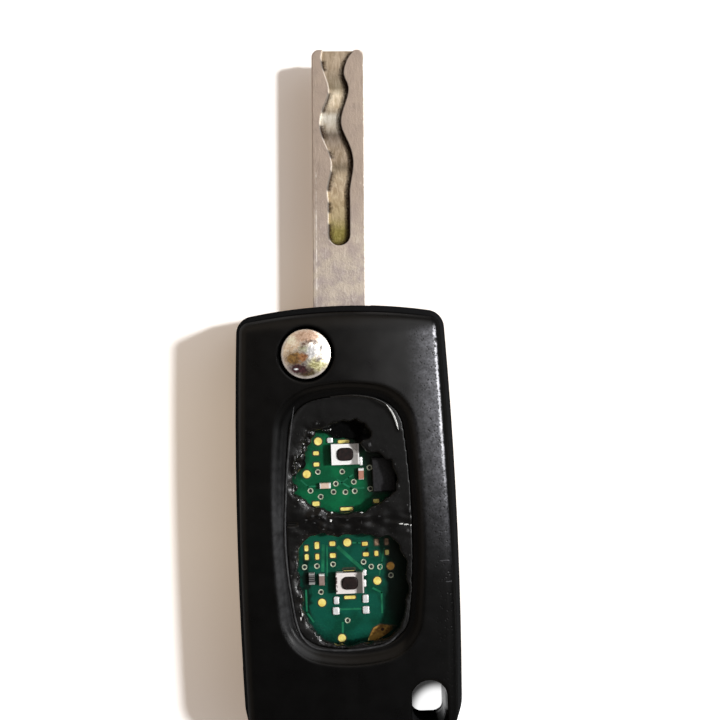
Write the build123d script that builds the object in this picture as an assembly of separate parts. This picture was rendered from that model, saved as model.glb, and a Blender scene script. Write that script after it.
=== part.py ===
from build123d import *
import math
import os

# A two-button folding car key, lying on its back with the blade swung out.
# Millimetres. +Y points along the open blade, +X to the right and +Z out of the front.
# The origin is the centre of the flat back face.

# Case
CASE_WIDTH = 36.3
CASE_LENGTH = 72.6
CASE_DEPTH = 15.0
WIDEST_BELOW_TOP = 42.9
SIDE_RADIUS = 720.0
END_RADIUS = 85.0
TOP_CORNER_RADIUS = 3.0
BOTTOM_CORNER_RADIUS = 7.0
PARTING_HEIGHT = 7.0
FRONT_LEAN = 1.7
BACK_LEAN = 0.9
CROWN_RADIUS = 136.0
END_ROLL_RADIUS = 5.6
END_ROLL_OVERHANG = 1.2
RIDGE_RADIUS = 1.7
BACK_EDGE_RADIUS = 1.2
WALL = 1.6
BACK_THICKNESS = 1.4
FRONT_SKIN = 2.1
FIT_GAP = 0.05
LIP_HEIGHT = 0.9
LIP_THICKNESS = 0.7

# Blade and the slot that it folds into
BLADE_WIDTH = 8.75
BLADE_THICKNESS = 2.8
BLADE_UNDERSIDE = 3.8
BLADE_OFFSET = 5.08
BLADE_TIP = 50.2
BLADE_TIP_RADIUS = 1.2
BLADE_EDGE_CHAMFER = 0.2
BLADE_SHOULDER = 5.4
OPEN_LEAN = 1.72
GROOVE_DEPTH = 0.9
GROOVE_LENGTH = 32.3
GROOVE_HALF_WIDTH = 1.8
GROOVE_ENTRY_LENGTH = 2.6
GROOVE_ENTRY_DEPTH = 0.2
TANG_START = 1.3
TANG_INSET = 3.9
SLOT_WALL = 1.2
SLOT_TIP_GAP = 0.7

# Turning hub at the pivot, from the top and the centre line of the case
PIVOT_BELOW_TOP = 7.85
PIVOT_FROM_CENTRE = 5.24
HUB_RADIUS = 7.0
HUB_CHEEK = 0.6
HUB_PLAY = 0.2
HUB_FLOOR = 1.3
HUB_ARM_LENGTH = 7.5
HUB_ARM_WALL = 0.7
HUB_ARM_INSET = 0.25
BARREL_RADIUS = 5.5
BARREL_BORE = 4.6
BEARING_CLEARANCE = 0.06
BOSS_WALL = 1.0
ROLL_PIN_RADIUS = 0.9
ROLL_PIN_BORE = 0.45

# Release button in the middle of the hub
BUTTON_RADIUS = 3.95
BUTTON_HOLE_CLEARANCE = 0.35
BUTTON_DOME_HEIGHT = 1.0
BUTTON_PROUD = 0.35
BUTTON_FLANGE_CLEARANCE = 0.1
BUTTON_FLANGE_THICKNESS = 1.2
BUTTON_POST_RADIUS = 2.6
BUTTON_TRAVEL = 2.5
SPRING_WIRE = 0.8
SPRING_TURNS = 4.0

# Recess in the front with the rubber pad in it
RECESS_CENTRE_X = 0.45
RECESS_FROM_TOP = 12.5
RECESS_FROM_BOTTOM = 16.1
RECESS_WIDTH = 24.0
RECESS_SIDE_RADIUS = 126.0
RECESS_END_RADIUS = 25.0
RECESS_CORNER_RADIUS = 7.5
RECESS_RING_WIDTH = 2.05
RECESS_DEPTH = 1.4
PAD_FLANGE_WIDTH = 1.2
PAD_FLANGE_THICKNESS = 0.65
PAD_SKIRT = 0.8
PAD_CLEARANCE = 0.05

# Frame that closes the blade slot and carries the circuit board
FRAME_THICKNESS = 0.7
FRAME_LID_DEPTH = 1.2
FRAME_BAND = 2.0
FRAME_WINDOW_CORNER = 2.0
WINDOW_PAST_CELL = 1.0

# Circuit board and what is soldered to it. Places on the board are from the centre line of the case
# and the middle of the recess, for a recess of PLACES_LENGTH, and spread out with a longer one.
PLACES_LENGTH = 44.0
BOARD_THICKNESS = 1.0
BOARD_ABOVE_LUG = 1.5
BOARD_BELOW_PIVOT = 8.0
LAND_THICKNESS = 0.06
SOLDER_THICKNESS = 0.3
SOLDER_TAPER = 25.0
SWITCH_X = 0.2
UPPER_SWITCH_PLACE = 10.5
LOWER_SWITCH_PLACE = -10.0
SWITCH_LENGTH = 4.1
SWITCH_WIDTH = 3.0
SWITCH_HEIGHT = 1.25
COVER_SHEET = 0.15
PLUNGER_LENGTH = 2.4
PLUNGER_WIDTH = 1.9
PLUNGER_CLEARANCE = 0.1
PLUNGER_CORNER = 0.7
PLUNGER_FLANGE = 0.3
PLUNGER_FLANGE_WIDTH = 0.2
PLUNGER_CHAMFER = 0.12
SWITCH_WELL_WIDTH = 0.35
COVER_ABOVE_BOARD = 0.35
PLUNGER_PROUD = 0.4
PLUNGER_TRAVEL = 0.25
DOME_THICKNESS = 0.1
CHIP_LENGTH = 5.5
CHIP_WIDTH = 3.7
CHIP_HEIGHT = 0.95
CHIP_X = 6.25
CHIP_PLACE = 7.05
CHIP_CHAMFER = 0.15

# Coin cell and its contacts under the board
CELL_RADIUS = 8.0
CELL_THICKNESS = 2.0
CELL_PLACE = 5.8
CELL_STEP = 0.3
CELL_STEP_WIDTH = 1.0
CELL_EDGE_RADIUS = 0.3
CELL_GAP = 0.4
CONTACT_SHEET = 0.3
CONTACT_GAP = 0.1
CONTACT_LENGTH = 7.0
CONTACT_WIDTH = 3.0
CLIP_WIDTH = 6.0
AERIAL_PLACE = -12.3
AERIAL_X = 5.6
AERIAL_LENGTH = 11.0
AERIAL_DEPTH = 2.6
AERIAL_FLANGE = 1.5
AERIAL_CORE_EDGE = 0.6
WINDING_INSET = 0.1
WINDING_CORNER = 0.3
CRYSTAL_LENGTH = 5.0
CRYSTAL_WIDTH = 3.2
CRYSTAL_HEIGHT = 1.1
CRYSTAL_CORNER = 0.4
CRYSTAL_FROM_SIDE = 8.55
CRYSTAL_ABOVE_WINDOW = 2.65

# Hole for the key ring, through the lower right corner
RING_HOLE_WIDTH = 5.3
RING_HOLE_LENGTH = 7.7
RING_HOLE_FROM_SIDE = 6.1
RING_BAR = 5.25
RING_HOLE_CORNER = 1.8
RING_LUG_WALL = 1.4
RING_MOUTH_FLARE = 0.3
RING_FRONT_MOUTH_DEPTH = 3.0
RING_FRONT_SLOPE = 1.7
RING_BACK_MOUTH_DEPTH = 6.0
RING_BACK_SLOPE = 2.6

CASE_TOP = CASE_LENGTH / 2
CASE_BOTTOM = -CASE_LENGTH / 2
WIDEST_Y = CASE_TOP - WIDEST_BELOW_TOP
PIVOT_X = -PIVOT_FROM_CENTRE
PIVOT_Y = CASE_TOP - PIVOT_BELOW_TOP
RING_HOLE_X = CASE_WIDTH / 2 - RING_HOLE_FROM_SIDE
SLOT_LOW = BLADE_UNDERSIDE - HUB_CHEEK - HUB_PLAY
SLOT_HIGH = BLADE_UNDERSIDE + BLADE_THICKNESS + HUB_CHEEK + HUB_PLAY
FRAME_LOW = SLOT_HIGH + FRAME_LID_DEPTH
FRAME_TOP = FRAME_LOW + FRAME_THICKNESS
BOARD_SURFACE = FRAME_TOP + BOARD_THICKNESS
SKIN_UNDERSIDE = CASE_DEPTH - FRONT_SKIN
PAD_SURFACE = CASE_DEPTH - RECESS_DEPTH
RECESS_LENGTH = CASE_LENGTH - RECESS_FROM_TOP - RECESS_FROM_BOTTOM
RECESS_Y = (RECESS_FROM_BOTTOM - RECESS_FROM_TOP) / 2
SPREAD = RECESS_LENGTH / PLACES_LENGTH
UPPER_SWITCH_Y = RECESS_Y + UPPER_SWITCH_PLACE * SPREAD
LOWER_SWITCH_Y = RECESS_Y + LOWER_SWITCH_PLACE * SPREAD
CELL_Y = RECESS_Y + CELL_PLACE * SPREAD
AERIAL_Y = RECESS_Y + AERIAL_PLACE * SPREAD
LUG_TOP = CASE_BOTTOM + RING_BAR + RING_HOLE_LENGTH + RING_LUG_WALL
FRAME_BOTTOM = LUG_TOP + 2 * FIT_GAP
BOARD_BOTTOM = LUG_TOP + BOARD_ABOVE_LUG
BOARD_TOP = PIVOT_Y - BOARD_BELOW_PIVOT
LEAN_PER_HEIGHT = FRONT_LEAN / (CASE_DEPTH - PARTING_HEIGHT)
ARM_INNER = BLADE_OFFSET - BLADE_WIDTH / 2 - HUB_ARM_INSET
ARM_OUTER = BLADE_OFFSET + BLADE_WIDTH / 2 + HUB_ARM_WALL
FRAME_INSET = WALL + LEAN_PER_HEIGHT * (FRAME_TOP - PARTING_HEIGHT) + FIT_GAP
WINDOW_LEFT = PIVOT_X - ARM_INNER + HUB_PLAY + SLOT_WALL
WINDOW_RIGHT = CASE_WIDTH / 2 - FRAME_INSET - FRAME_BAND
WINDOW_BOTTOM = FRAME_BOTTOM + FRAME_BAND
WINDOW_TOP = CELL_Y + CELL_RADIUS + WINDOW_PAST_CELL
CELL_X = (WINDOW_LEFT + WINDOW_RIGHT) / 2
FAR = 4 * CASE_LENGTH

# Right and left edges of the wavy groove: millimetres from the tip, and from the blade's centre line
GROOVE_RIGHT = [(0.0, 2.8), (2.5, 1.15), (4.4, 1.0), (5.7, 1.55), (9.2, 1.0), (12.4, 0.45), (15.4, 1.65),
                (18.9, 2.4), (22.0, 1.95), (24.6, 1.8)]
GROOVE_LEFT = [(0.0, -2.6), (3.9, -2.3), (6.7, -1.6), (9.2, -2.4), (12.7, -3.1), (15.6, -2.2), (18.9, -1.2),
               (21.6, -1.7), (24.6, -1.8)]

# Ragged edges of the two holes where the rubber buttons were torn out of the pad
UPPER_TEAR = [(-5.3, 14.4), (-3.6, 15.0), (-2.6, 14.0), (-1.2, 13.1), (1.8, 13.0), (2.9, 11.9), (3.9, 11.0),
              (5.9, 10.6), (7.2, 9.4), (8.0, 7.6), (8.2, 6.0), (8.1, 4.8), (5.6, 2.8), (2.6, 2.1),
              (-0.6, 2.1), (-3.0, 1.8), (-5.7, 2.8), (-7.9, 4.6), (-8.3, 7.2), (-7.4, 10.2)]
LOWER_TEAR = [(-6.3, -2.4), (-3.9, -1.7), (-1.4, -2.3), (1.6, -1.9), (5.2, -2.4), (7.0, -2.7), (8.3, -4.0),
              (9.1, -6.0), (9.2, -10.6), (8.7, -14.2), (7.4, -17.4), (4.9, -19.2), (2.0, -19.0), (-0.6, -19.7),
              (-4.1, -18.6), (-6.2, -15.8), (-7.5, -14.0), (-7.3, -11.4), (-7.9, -7.4), (-7.5, -4.2)]

# Shoulder that rolls down into the recess: inset from its outline, and depth below the case's top
SHOULDER = [(0.0, 0.5), (0.4, 0.66), (0.8, 0.93), (1.15, 1.33), (RECESS_RING_WIDTH, 1.5)]

# Gold-plated lands on the board: round ones, then oblong ones with their length and width
ROUND_LANDS = [(-4.1, 12.6), (-6.1, 7.4), (0.0, -3.8), (6.8, -7.8), (4.6, -10.1), (-4.4, -13.3),
               (-1.4, -19.1)]
ROUND_LAND_RADIUS = 0.72
OBLONG_LANDS = [(-4.5, 10.7, 1.1, 0.8), (-4.5, 8.9, 1.1, 0.8), (-4.8, 2.6, 1.3, 0.9), (4.9, 2.7, 1.1, 0.8),
                (0.1, 1.6, 2.2, 0.7), (-6.6, -4.5, 0.8, 1.1), (-4.9, -4.1, 0.9, 1.3),
                (-2.4, -3.9, 1.1, 0.9), (2.8, -4.1, 1.1, 0.8), (4.7, -3.9, 0.8, 1.2), (6.3, -3.9, 0.8, 1.2),
                (-6.6, -5.9, 0.8, 1.1), (-4.9, -5.9, 0.8, 1.1), (-2.4, -5.8, 1.1, 0.9),
                (2.9, -5.8, 1.1, 0.8), (4.6, -5.7, 0.8, 1.0), (6.3, -5.6, 0.8, 1.0)]
CORNER_LAND = [(2.6, -19.7), (3.6, -17.6), (4.8, -17.0), (7.6, -17.4), (6.3, -18.4), (4.2, -19.7)]

# Solder lumps: place, length and width
SOLDER_LUMPS = [(-2.1, -13.0, 0.9, 1.1), (-2.2, -14.7, 1.1, 1.2), (2.6, -12.9, 0.9, 1.1),
                (2.6, -14.7, 1.1, 1.2)]

# Lands, solder and a capacitor close to a switch: places from its middle
UPPER_SWITCH_LANDS = [(-0.2, 1.9, 2.0, 0.7)]
LOWER_SWITCH_LANDS = [(-0.1, 1.85, 2.0, 0.6), (-0.1, -2.6, 2.0, 0.7)]
UPPER_SWITCH_SOLDER = [(-2.4, 2.2, 1.0, 0.8), (2.4, -1.3, 0.6, 1.4)]
LOWER_SWITCH_SOLDER = [(2.4, 1.3, 0.6, 1.0), (2.35, -0.4, 0.5, 1.2)]
UPPER_SWITCH_CAPACITOR = (2.4, -3.3)

# Chip capacitors and resistors: place, and whether the chip lies along X
CHIP_CAPACITORS = [(-3.2, 5.5, True), (-4.3, -9.5, False)]
CHIP_RESISTORS = [(-5.9, -9.3, False), (RECESS_CENTRE_X + RECESS_WIDTH / 2, 13.8, False)]
CHIP_PART_SIZE = (2.0, 1.1, 0.75)
CHIP_PART_CHAMFER = 0.08


def prism(face, low, high):
    return extrude(Pos(0, 0, low) * face, high - low)


def on_board(x, y):
    """A place on the board, from the middle of the recess."""
    return (x, RECESS_Y + y * SPREAD)


def by_switch(switch_y, place):
    return (SWITCH_X + place[0], switch_y + place[1])


def pinched_outline(half_width, side_radius, end_radius, top, bottom, widest_y, radii, inset):
    """An outline of four shallow arcs with rounded corners, moved in all round by inset."""
    outline = Pos(half_width - side_radius, widest_y) * Circle(side_radius - inset)
    outline &= Pos(side_radius - half_width, widest_y) * Circle(side_radius - inset)
    for end, inward in ((top, -1), (bottom, 1)):
        cap = Circle(end_radius - inset) + Pos(0, inward * FAR / 2) * Rectangle(2 * (end_radius - inset), FAR)
        outline &= Pos(0, end + inward * end_radius) * cap
    corners = outline.vertices().sort_by(Axis.Y)
    outline = fillet(corners[:2], radii[0] - inset)
    corners = outline.vertices().sort_by(Axis.Y)
    return fillet(corners[-2:], radii[1] - inset)


def case_outline(inset=0.0):
    radii = (BOTTOM_CORNER_RADIUS, TOP_CORNER_RADIUS)
    half_width = CASE_WIDTH / 2
    return pinched_outline(half_width, SIDE_RADIUS, END_RADIUS, CASE_TOP, CASE_BOTTOM, WIDEST_Y, radii, inset)


def recess_outline(inset=0.0):
    radii = (RECESS_CORNER_RADIUS, RECESS_CORNER_RADIUS)
    half_length = RECESS_LENGTH / 2
    outline = pinched_outline(RECESS_WIDTH / 2, RECESS_SIDE_RADIUS, RECESS_END_RADIUS, half_length,
                              -half_length, 0, radii, inset)
    return Pos(RECESS_CENTRE_X, RECESS_Y) * outline


def drafted(low, low_inset, high, high_inset):
    """A solid between two heights whose walls lean from one inset of the case's outline to another."""
    faces = [Pos(0, 0, low) * case_outline(low_inset), Pos(0, 0, high) * case_outline(high_inset)]
    return loft(faces, ruled=True)


def at_pivot(shape, turn=0.0):
    return Pos(PIVOT_X, PIVOT_Y) * Rot(0, 0, turn) * shape


def slot_plan(grow=0.0):
    """The floor plan that the hub and blade sweep, and with grow the walls round it."""
    inner = -(ARM_INNER - HUB_PLAY) + grow
    depth = BLADE_TIP + SLOT_TIP_GAP + grow
    folded = Pos(inner - FAR / 2, -depth / 2) * Rectangle(FAR, depth)
    sweep_bottom = HUB_PLAY + grow + ARM_OUTER * math.sin(math.radians(OPEN_LEAN))
    right = ARM_OUTER + FIT_GAP + grow
    swing = Pos(right - FAR / 2, FAR / 2 - sweep_bottom) * Rectangle(FAR, FAR)
    swing = Rot(0, 0, -OPEN_LEAN) * swing
    return at_pivot(folded + swing + Circle(HUB_RADIUS + HUB_PLAY + grow))


def front_form():
    """The outside of the front: leaning walls under a crown that rolls down at both ends."""
    top = CASE_DEPTH + 1
    lean = LEAN_PER_HEIGHT * (top - PARTING_HEIGHT)
    form = drafted(PARTING_HEIGHT, 0, top, lean)
    length = CASE_LENGTH + 2 * END_ROLL_OVERHANG
    side_view = Plane.YZ * RectangleRounded(length, 2 * CASE_DEPTH, END_ROLL_RADIUS)
    crown_axis = Axis((0, 0, CASE_DEPTH - CROWN_RADIUS), (0, 1, 0))
    sweep = 2 * math.degrees(CASE_WIDTH / CROWN_RADIUS)
    form &= revolve(side_view.rotate(crown_axis, -sweep / 2), crown_axis, sweep)
    ridge = []
    for edge in form.edges():
        box = edge.bounding_box()
        if box.min.Z > CASE_DEPTH - END_ROLL_RADIUS and box.max.Z < CASE_DEPTH - RIDGE_RADIUS / 10:
            ridge.append(edge)
    return fillet(ridge, RIDGE_RADIUS)


def back_form():
    """The outside of the back: walls that lean in to a flat face with a rounded edge."""
    form = drafted(0, BACK_LEAN, PARTING_HEIGHT, 0)
    return fillet(form.faces().sort_by(Axis.Z)[0].edges(), BACK_EDGE_RADIUS)


def ring_hole(flare=0.0, lower=0.0):
    """Floor plan of the key ring's hole: a round arch above a bar, widened by flare, lengthened by lower."""
    width = RING_HOLE_WIDTH + 2 * flare
    bottom = CASE_BOTTOM + RING_BAR - lower
    top = CASE_BOTTOM + RING_BAR + RING_HOLE_LENGTH + flare
    plan = Pos(RING_HOLE_X, (bottom + top) / 2) * Rectangle(width, top - bottom)
    corners = plan.vertices().sort_by(Axis.Y)
    plan = fillet(corners[:2], RING_HOLE_CORNER)
    corners = plan.vertices().sort_by(Axis.Y)
    return fillet(corners[-2:], width / 2 - 0.01)


def ring_lug():
    """Thick corner round the key ring's hole."""
    left = RING_HOLE_X - RING_HOLE_WIDTH / 2 - RING_LUG_WALL
    return Pos(left + FAR / 2, LUG_TOP - FAR / 2) * Rectangle(FAR, FAR)


def ring_hole_mouths():
    """The hole through the lug, opening out over the key ring's bar at the front and back."""
    front_mouth = ring_hole(RING_MOUTH_FLARE, RING_FRONT_SLOPE)
    back_mouth = ring_hole(RING_MOUTH_FLARE, RING_BACK_SLOPE)
    hole = prism(ring_hole(), 0, CASE_DEPTH)
    front_low = CASE_DEPTH - RING_FRONT_MOUTH_DEPTH
    front = [Pos(0, 0, front_low) * ring_hole(), Pos(0, 0, CASE_DEPTH) * front_mouth]
    back = [back_mouth, Pos(0, 0, RING_BACK_MOUTH_DEPTH) * ring_hole()]
    return hole + loft(front, ruled=True) + loft(back, ruled=True)


def front_cover():
    cover = front_form()
    lean = LEAN_PER_HEIGHT * (SKIN_UNDERSIDE - PARTING_HEIGHT)
    cavity = drafted(PARTING_HEIGHT - 1, WALL - LEAN_PER_HEIGHT, SKIN_UNDERSIDE, WALL + lean)
    cavity -= prism(ring_lug(), 0, CASE_DEPTH)
    boss = at_pivot(Circle(BARREL_RADIUS + BEARING_CLEARANCE + BOSS_WALL))
    cavity -= prism(boss, FRAME_TOP, CASE_DEPTH)
    cover -= cavity
    cover -= prism(slot_plan(SLOT_WALL), PARTING_HEIGHT - 1, SLOT_HIGH)
    cover -= at_pivot(prism(Circle(BARREL_RADIUS + BEARING_CLEARANCE), 0, SKIN_UNDERSIDE))
    cover -= at_pivot(prism(Circle(BUTTON_RADIUS + BUTTON_HOLE_CLEARANCE), 0, CASE_DEPTH + 1))
    for (outer, high), (inner, low) in zip(SHOULDER, SHOULDER[1:]):
        step = [Pos(0, 0, CASE_DEPTH - low) * recess_outline(inner),
                Pos(0, 0, CASE_DEPTH - high) * recess_outline(outer)]
        cover -= loft(step, ruled=True)
    cover -= prism(recess_outline(), CASE_DEPTH - SHOULDER[0][1], CASE_DEPTH + 1)
    cover -= prism(recess_outline(RECESS_RING_WIDTH), SKIN_UNDERSIDE - 1, CASE_DEPTH)
    return cover - ring_hole_mouths()


def back_case():
    case = back_form()
    walls = prism(slot_plan(SLOT_WALL) & case_outline(), PARTING_HEIGHT, SLOT_HIGH)
    case += walls & front_form()
    cavity = prism(case_outline(WALL), BACK_THICKNESS, PARTING_HEIGHT)
    cavity -= prism(slot_plan(SLOT_WALL), 0, CASE_DEPTH)
    cavity -= prism(ring_lug(), 0, CASE_DEPTH)
    case -= cavity
    lip_lean = LEAN_PER_HEIGHT * LIP_HEIGHT
    lip = case_outline(WALL + lip_lean + FIT_GAP) - case_outline(WALL + lip_lean + LIP_THICKNESS)
    lip -= slot_plan(SLOT_WALL + FIT_GAP)
    lip -= ring_lug()
    case += prism(lip, PARTING_HEIGHT - WALL, PARTING_HEIGHT + LIP_HEIGHT)
    case -= prism(slot_plan(), SLOT_LOW, SLOT_HIGH)
    case -= at_pivot(prism(Circle(BARREL_RADIUS + BEARING_CLEARANCE), BACK_THICKNESS, SLOT_HIGH))
    return case - ring_hole_mouths()


def inner_frame():
    """Plate under the circuit board, with the lid that closes the blade's slot on its underside."""
    plan = case_outline(FRAME_INSET)
    plan &= Pos(0, FRAME_BOTTOM + FAR / 2) * Rectangle(FAR, FAR)
    barrel = at_pivot(Circle(BARREL_RADIUS + BEARING_CLEARANCE))
    lid = (plan & slot_plan(SLOT_WALL)) - barrel
    centre = (CELL_X, (WINDOW_BOTTOM + WINDOW_TOP) / 2)
    window = Rectangle(WINDOW_RIGHT - WINDOW_LEFT, WINDOW_TOP - WINDOW_BOTTOM)
    plan -= Pos(*centre) * fillet(window.vertices(), FRAME_WINDOW_CORNER)
    return prism(plan - barrel, FRAME_LOW, FRAME_TOP) + prism(lid, SLOT_HIGH, FRAME_LOW)


def button_pad():
    """Rubber pad with the two buttons torn out, its flange and the skirt that stands on the board."""
    inner = RECESS_RING_WIDTH + PAD_CLEARANCE
    flange_top = SKIN_UNDERSIDE - PAD_CLEARANCE
    flange_low = flange_top - PAD_FLANGE_THICKNESS
    outer = RECESS_RING_WIDTH - PAD_FLANGE_WIDTH
    pad = prism(recess_outline(inner), flange_low, PAD_SURFACE)
    pad += prism(recess_outline(outer), flange_low, flange_top)
    skirt = recess_outline(outer) - recess_outline(outer + PAD_SKIRT)
    skirt &= Pos(0, BOARD_BOTTOM + FAR / 2) * Rectangle(FAR, FAR)
    skirt &= Pos(0, BOARD_TOP - FAR / 2) * Rectangle(FAR, FAR)
    pad += prism(skirt, BOARD_SURFACE, flange_low)
    for tear in (UPPER_TEAR, LOWER_TEAR):
        edge = [on_board(*place) for place in tear]
        pad -= prism(make_face(Polyline(*edge, close=True)), BOARD_SURFACE, CASE_DEPTH)
    boss = at_pivot(Circle(BARREL_RADIUS + BEARING_CLEARANCE + BOSS_WALL + 2 * PAD_CLEARANCE))
    return pad - prism(boss, 0, CASE_DEPTH)


def circuit_board():
    inset = WALL + LEAN_PER_HEIGHT * (BOARD_SURFACE - PARTING_HEIGHT) + 2 * FIT_GAP
    plan = case_outline(inset)
    plan &= Pos(0, BOARD_BOTTOM + FAR / 2) * Rectangle(FAR, FAR)
    plan &= Pos(0, BOARD_TOP - FAR / 2) * Rectangle(FAR, FAR)
    return prism(plan, FRAME_TOP, BOARD_SURFACE)


def gold_lands():
    lands = [Pos(*on_board(*place)) * Circle(ROUND_LAND_RADIUS) for place in ROUND_LANDS]
    for x, y, length, width in OBLONG_LANDS:
        lands.append(Pos(*on_board(x, y)) * Rectangle(length, width))
    for switch_y, near in ((UPPER_SWITCH_Y, UPPER_SWITCH_LANDS), (LOWER_SWITCH_Y, LOWER_SWITCH_LANDS)):
        for x, y, length, width in near:
            lands.append(Pos(*by_switch(switch_y, (x, y))) * Rectangle(length, width))
    lands.append(make_face(Polyline(*[on_board(*place) for place in CORNER_LAND], close=True)))
    return [prism(land, BOARD_SURFACE, BOARD_SURFACE + LAND_THICKNESS) for land in lands]


def solder_lumps():
    places = [(*on_board(x, y), length, width) for x, y, length, width in SOLDER_LUMPS]
    for switch_y, near in ((UPPER_SWITCH_Y, UPPER_SWITCH_SOLDER), (LOWER_SWITCH_Y, LOWER_SWITCH_SOLDER)):
        places += [(*by_switch(switch_y, (x, y)), length, width) for x, y, length, width in near]
    lumps = []
    for x, y, length, width in places:
        base = Pos(x, y, BOARD_SURFACE) * Rectangle(length, width)
        lumps.append(extrude(base, SOLDER_THICKNESS, taper=SOLDER_TAPER))
    return lumps


def chip_part(along_x):
    length, width, height = CHIP_PART_SIZE
    size = (length, width) if along_x else (width, length)
    body = prism(Rectangle(*size), BOARD_SURFACE, BOARD_SURFACE + height)
    return chamfer(body.faces().sort_by(Axis.Z)[-1].edges(), CHIP_PART_CHAMFER)


def chip_capacitors():
    parts = [Pos(*on_board(x, y)) * chip_part(along_x) for x, y, along_x in CHIP_CAPACITORS]
    parts.append(Pos(*by_switch(UPPER_SWITCH_Y, UPPER_SWITCH_CAPACITOR)) * chip_part(False))
    return parts


def chip_resistors():
    return [Pos(*on_board(x, y)) * chip_part(along_x) for x, y, along_x in CHIP_RESISTORS]


def control_chip():
    body = prism(Rectangle(CHIP_WIDTH, CHIP_LENGTH), BOARD_SURFACE, BOARD_SURFACE + CHIP_HEIGHT)
    body = chamfer(body.faces().sort_by(Axis.Z)[-1].edges(), CHIP_CHAMFER)
    return Pos(*on_board(CHIP_X, CHIP_PLACE)) * body


def plunger_outline(grow):
    outline = Rectangle(PLUNGER_LENGTH + 2 * grow, PLUNGER_WIDTH + 2 * grow)
    return fillet(outline.vertices(), PLUNGER_CORNER + grow)


def dome_height():
    below = PLUNGER_FLANGE + PLUNGER_TRAVEL + DOME_THICKNESS + 2 * PLUNGER_CLEARANCE
    return BOARD_SURFACE + SWITCH_HEIGHT - below


def switch_base():
    base = prism(Rectangle(SWITCH_LENGTH, SWITCH_WIDTH), BOARD_SURFACE, BOARD_SURFACE + SWITCH_HEIGHT)
    return base - prism(plunger_outline(SWITCH_WELL_WIDTH), dome_height(), CASE_DEPTH)


def switch_dome():
    low = dome_height()
    return prism(plunger_outline(PLUNGER_FLANGE_WIDTH), low, low + DOME_THICKNESS)


def switch_cover():
    """Folded sheet cap over the switch base, with the hole that the plunger stands in."""
    low = BOARD_SURFACE + COVER_ABOVE_BOARD
    high = BOARD_SURFACE + SWITCH_HEIGHT + COVER_SHEET
    cap = prism(Rectangle(SWITCH_LENGTH + 2 * COVER_SHEET, SWITCH_WIDTH + 2 * COVER_SHEET), low, high)
    cap -= prism(Rectangle(SWITCH_LENGTH, SWITCH_WIDTH), low, high - COVER_SHEET)
    cap -= prism(plunger_outline(PLUNGER_CLEARANCE), low, high)
    return cap - prism(Rectangle(SWITCH_LENGTH / 2, FAR), low, high - COVER_SHEET)


def switch_plunger():
    top = BOARD_SURFACE + SWITCH_HEIGHT
    flange = prism(plunger_outline(PLUNGER_FLANGE_WIDTH), top - PLUNGER_FLANGE - 0.02, top - 0.02)
    stem = prism(plunger_outline(0), top - PLUNGER_FLANGE, top + COVER_SHEET + PLUNGER_PROUD)
    stem = chamfer(stem.faces().sort_by(Axis.Z)[-1].edges(), PLUNGER_CHAMFER)
    return flange + stem


def flip_hub():
    """Barrel with a bore for the spring, and the arm that the blade is pinned in."""
    low = SLOT_LOW + HUB_PLAY
    high = SLOT_HIGH - HUB_PLAY
    foot = BACK_THICKNESS + 0.1
    head = SKIN_UNDERSIDE - HUB_PLAY
    arm_centre = ((ARM_INNER + ARM_OUTER) / 2, HUB_ARM_LENGTH / 2)
    arm = Pos(*arm_centre) * Rectangle(ARM_OUTER - ARM_INNER, HUB_ARM_LENGTH)
    hub = prism(arm + Circle(HUB_RADIUS), low, high)
    hub += prism(Circle(BARREL_RADIUS), foot, head)
    hub -= prism(Circle(BARREL_BORE), foot + HUB_FLOOR, head)
    hub -= prism(blade_plan(), BLADE_UNDERSIDE, BLADE_UNDERSIDE + BLADE_THICKNESS)
    hub -= Pos(*roll_pin_place()) * prism(Circle(ROLL_PIN_RADIUS), low, high)
    return at_pivot(hub, -OPEN_LEAN)


def roll_pin_place():
    tang_left = BLADE_OFFSET + BLADE_WIDTH / 2 - TANG_INSET
    return (tang_left + TANG_INSET / 2, (TANG_START + BLADE_SHOULDER) / 2)


def blade_plan():
    left = BLADE_OFFSET - BLADE_WIDTH / 2
    right = BLADE_OFFSET + BLADE_WIDTH / 2
    tang_left = right - TANG_INSET
    outline = Polyline((left, BLADE_SHOULDER), (tang_left, BLADE_SHOULDER), (tang_left, TANG_START),
                       (right, TANG_START), (right, BLADE_TIP), (left, BLADE_TIP), close=True)
    plan = make_face(outline)
    tip = plan.vertices().sort_by(Axis.Y)[-2:]
    return fillet(tip, BLADE_TIP_RADIUS)


def groove_plan():
    """Wavy track from the tip that runs out into a straight slot with a round end."""
    def place(point):
        from_tip, across = point
        return (BLADE_OFFSET + across, BLADE_TIP - from_tip)

    right = [place(p) for p in GROOVE_RIGHT]
    left = [place(p) for p in GROOVE_LEFT]
    end_y = BLADE_TIP - GROOVE_LENGTH + GROOVE_HALF_WIDTH
    right_end = (BLADE_OFFSET + GROOVE_HALF_WIDTH, end_y)
    left_end = (BLADE_OFFSET - GROOVE_HALF_WIDTH, end_y)
    bottom = (BLADE_OFFSET, end_y - GROOVE_HALF_WIDTH)
    beyond_right = (right[0][0], BLADE_TIP + 1)
    beyond_left = (left[0][0], BLADE_TIP + 1)
    edges = [Line(beyond_right, right[0]), Spline(*right), Line(right[-1], right_end),
             ThreePointArc(right_end, bottom, left_end), Line(left_end, left[-1]), Spline(*reversed(left)),
             Line(left[0], beyond_left), Line(beyond_left, beyond_right)]
    return make_face(edges)


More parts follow.
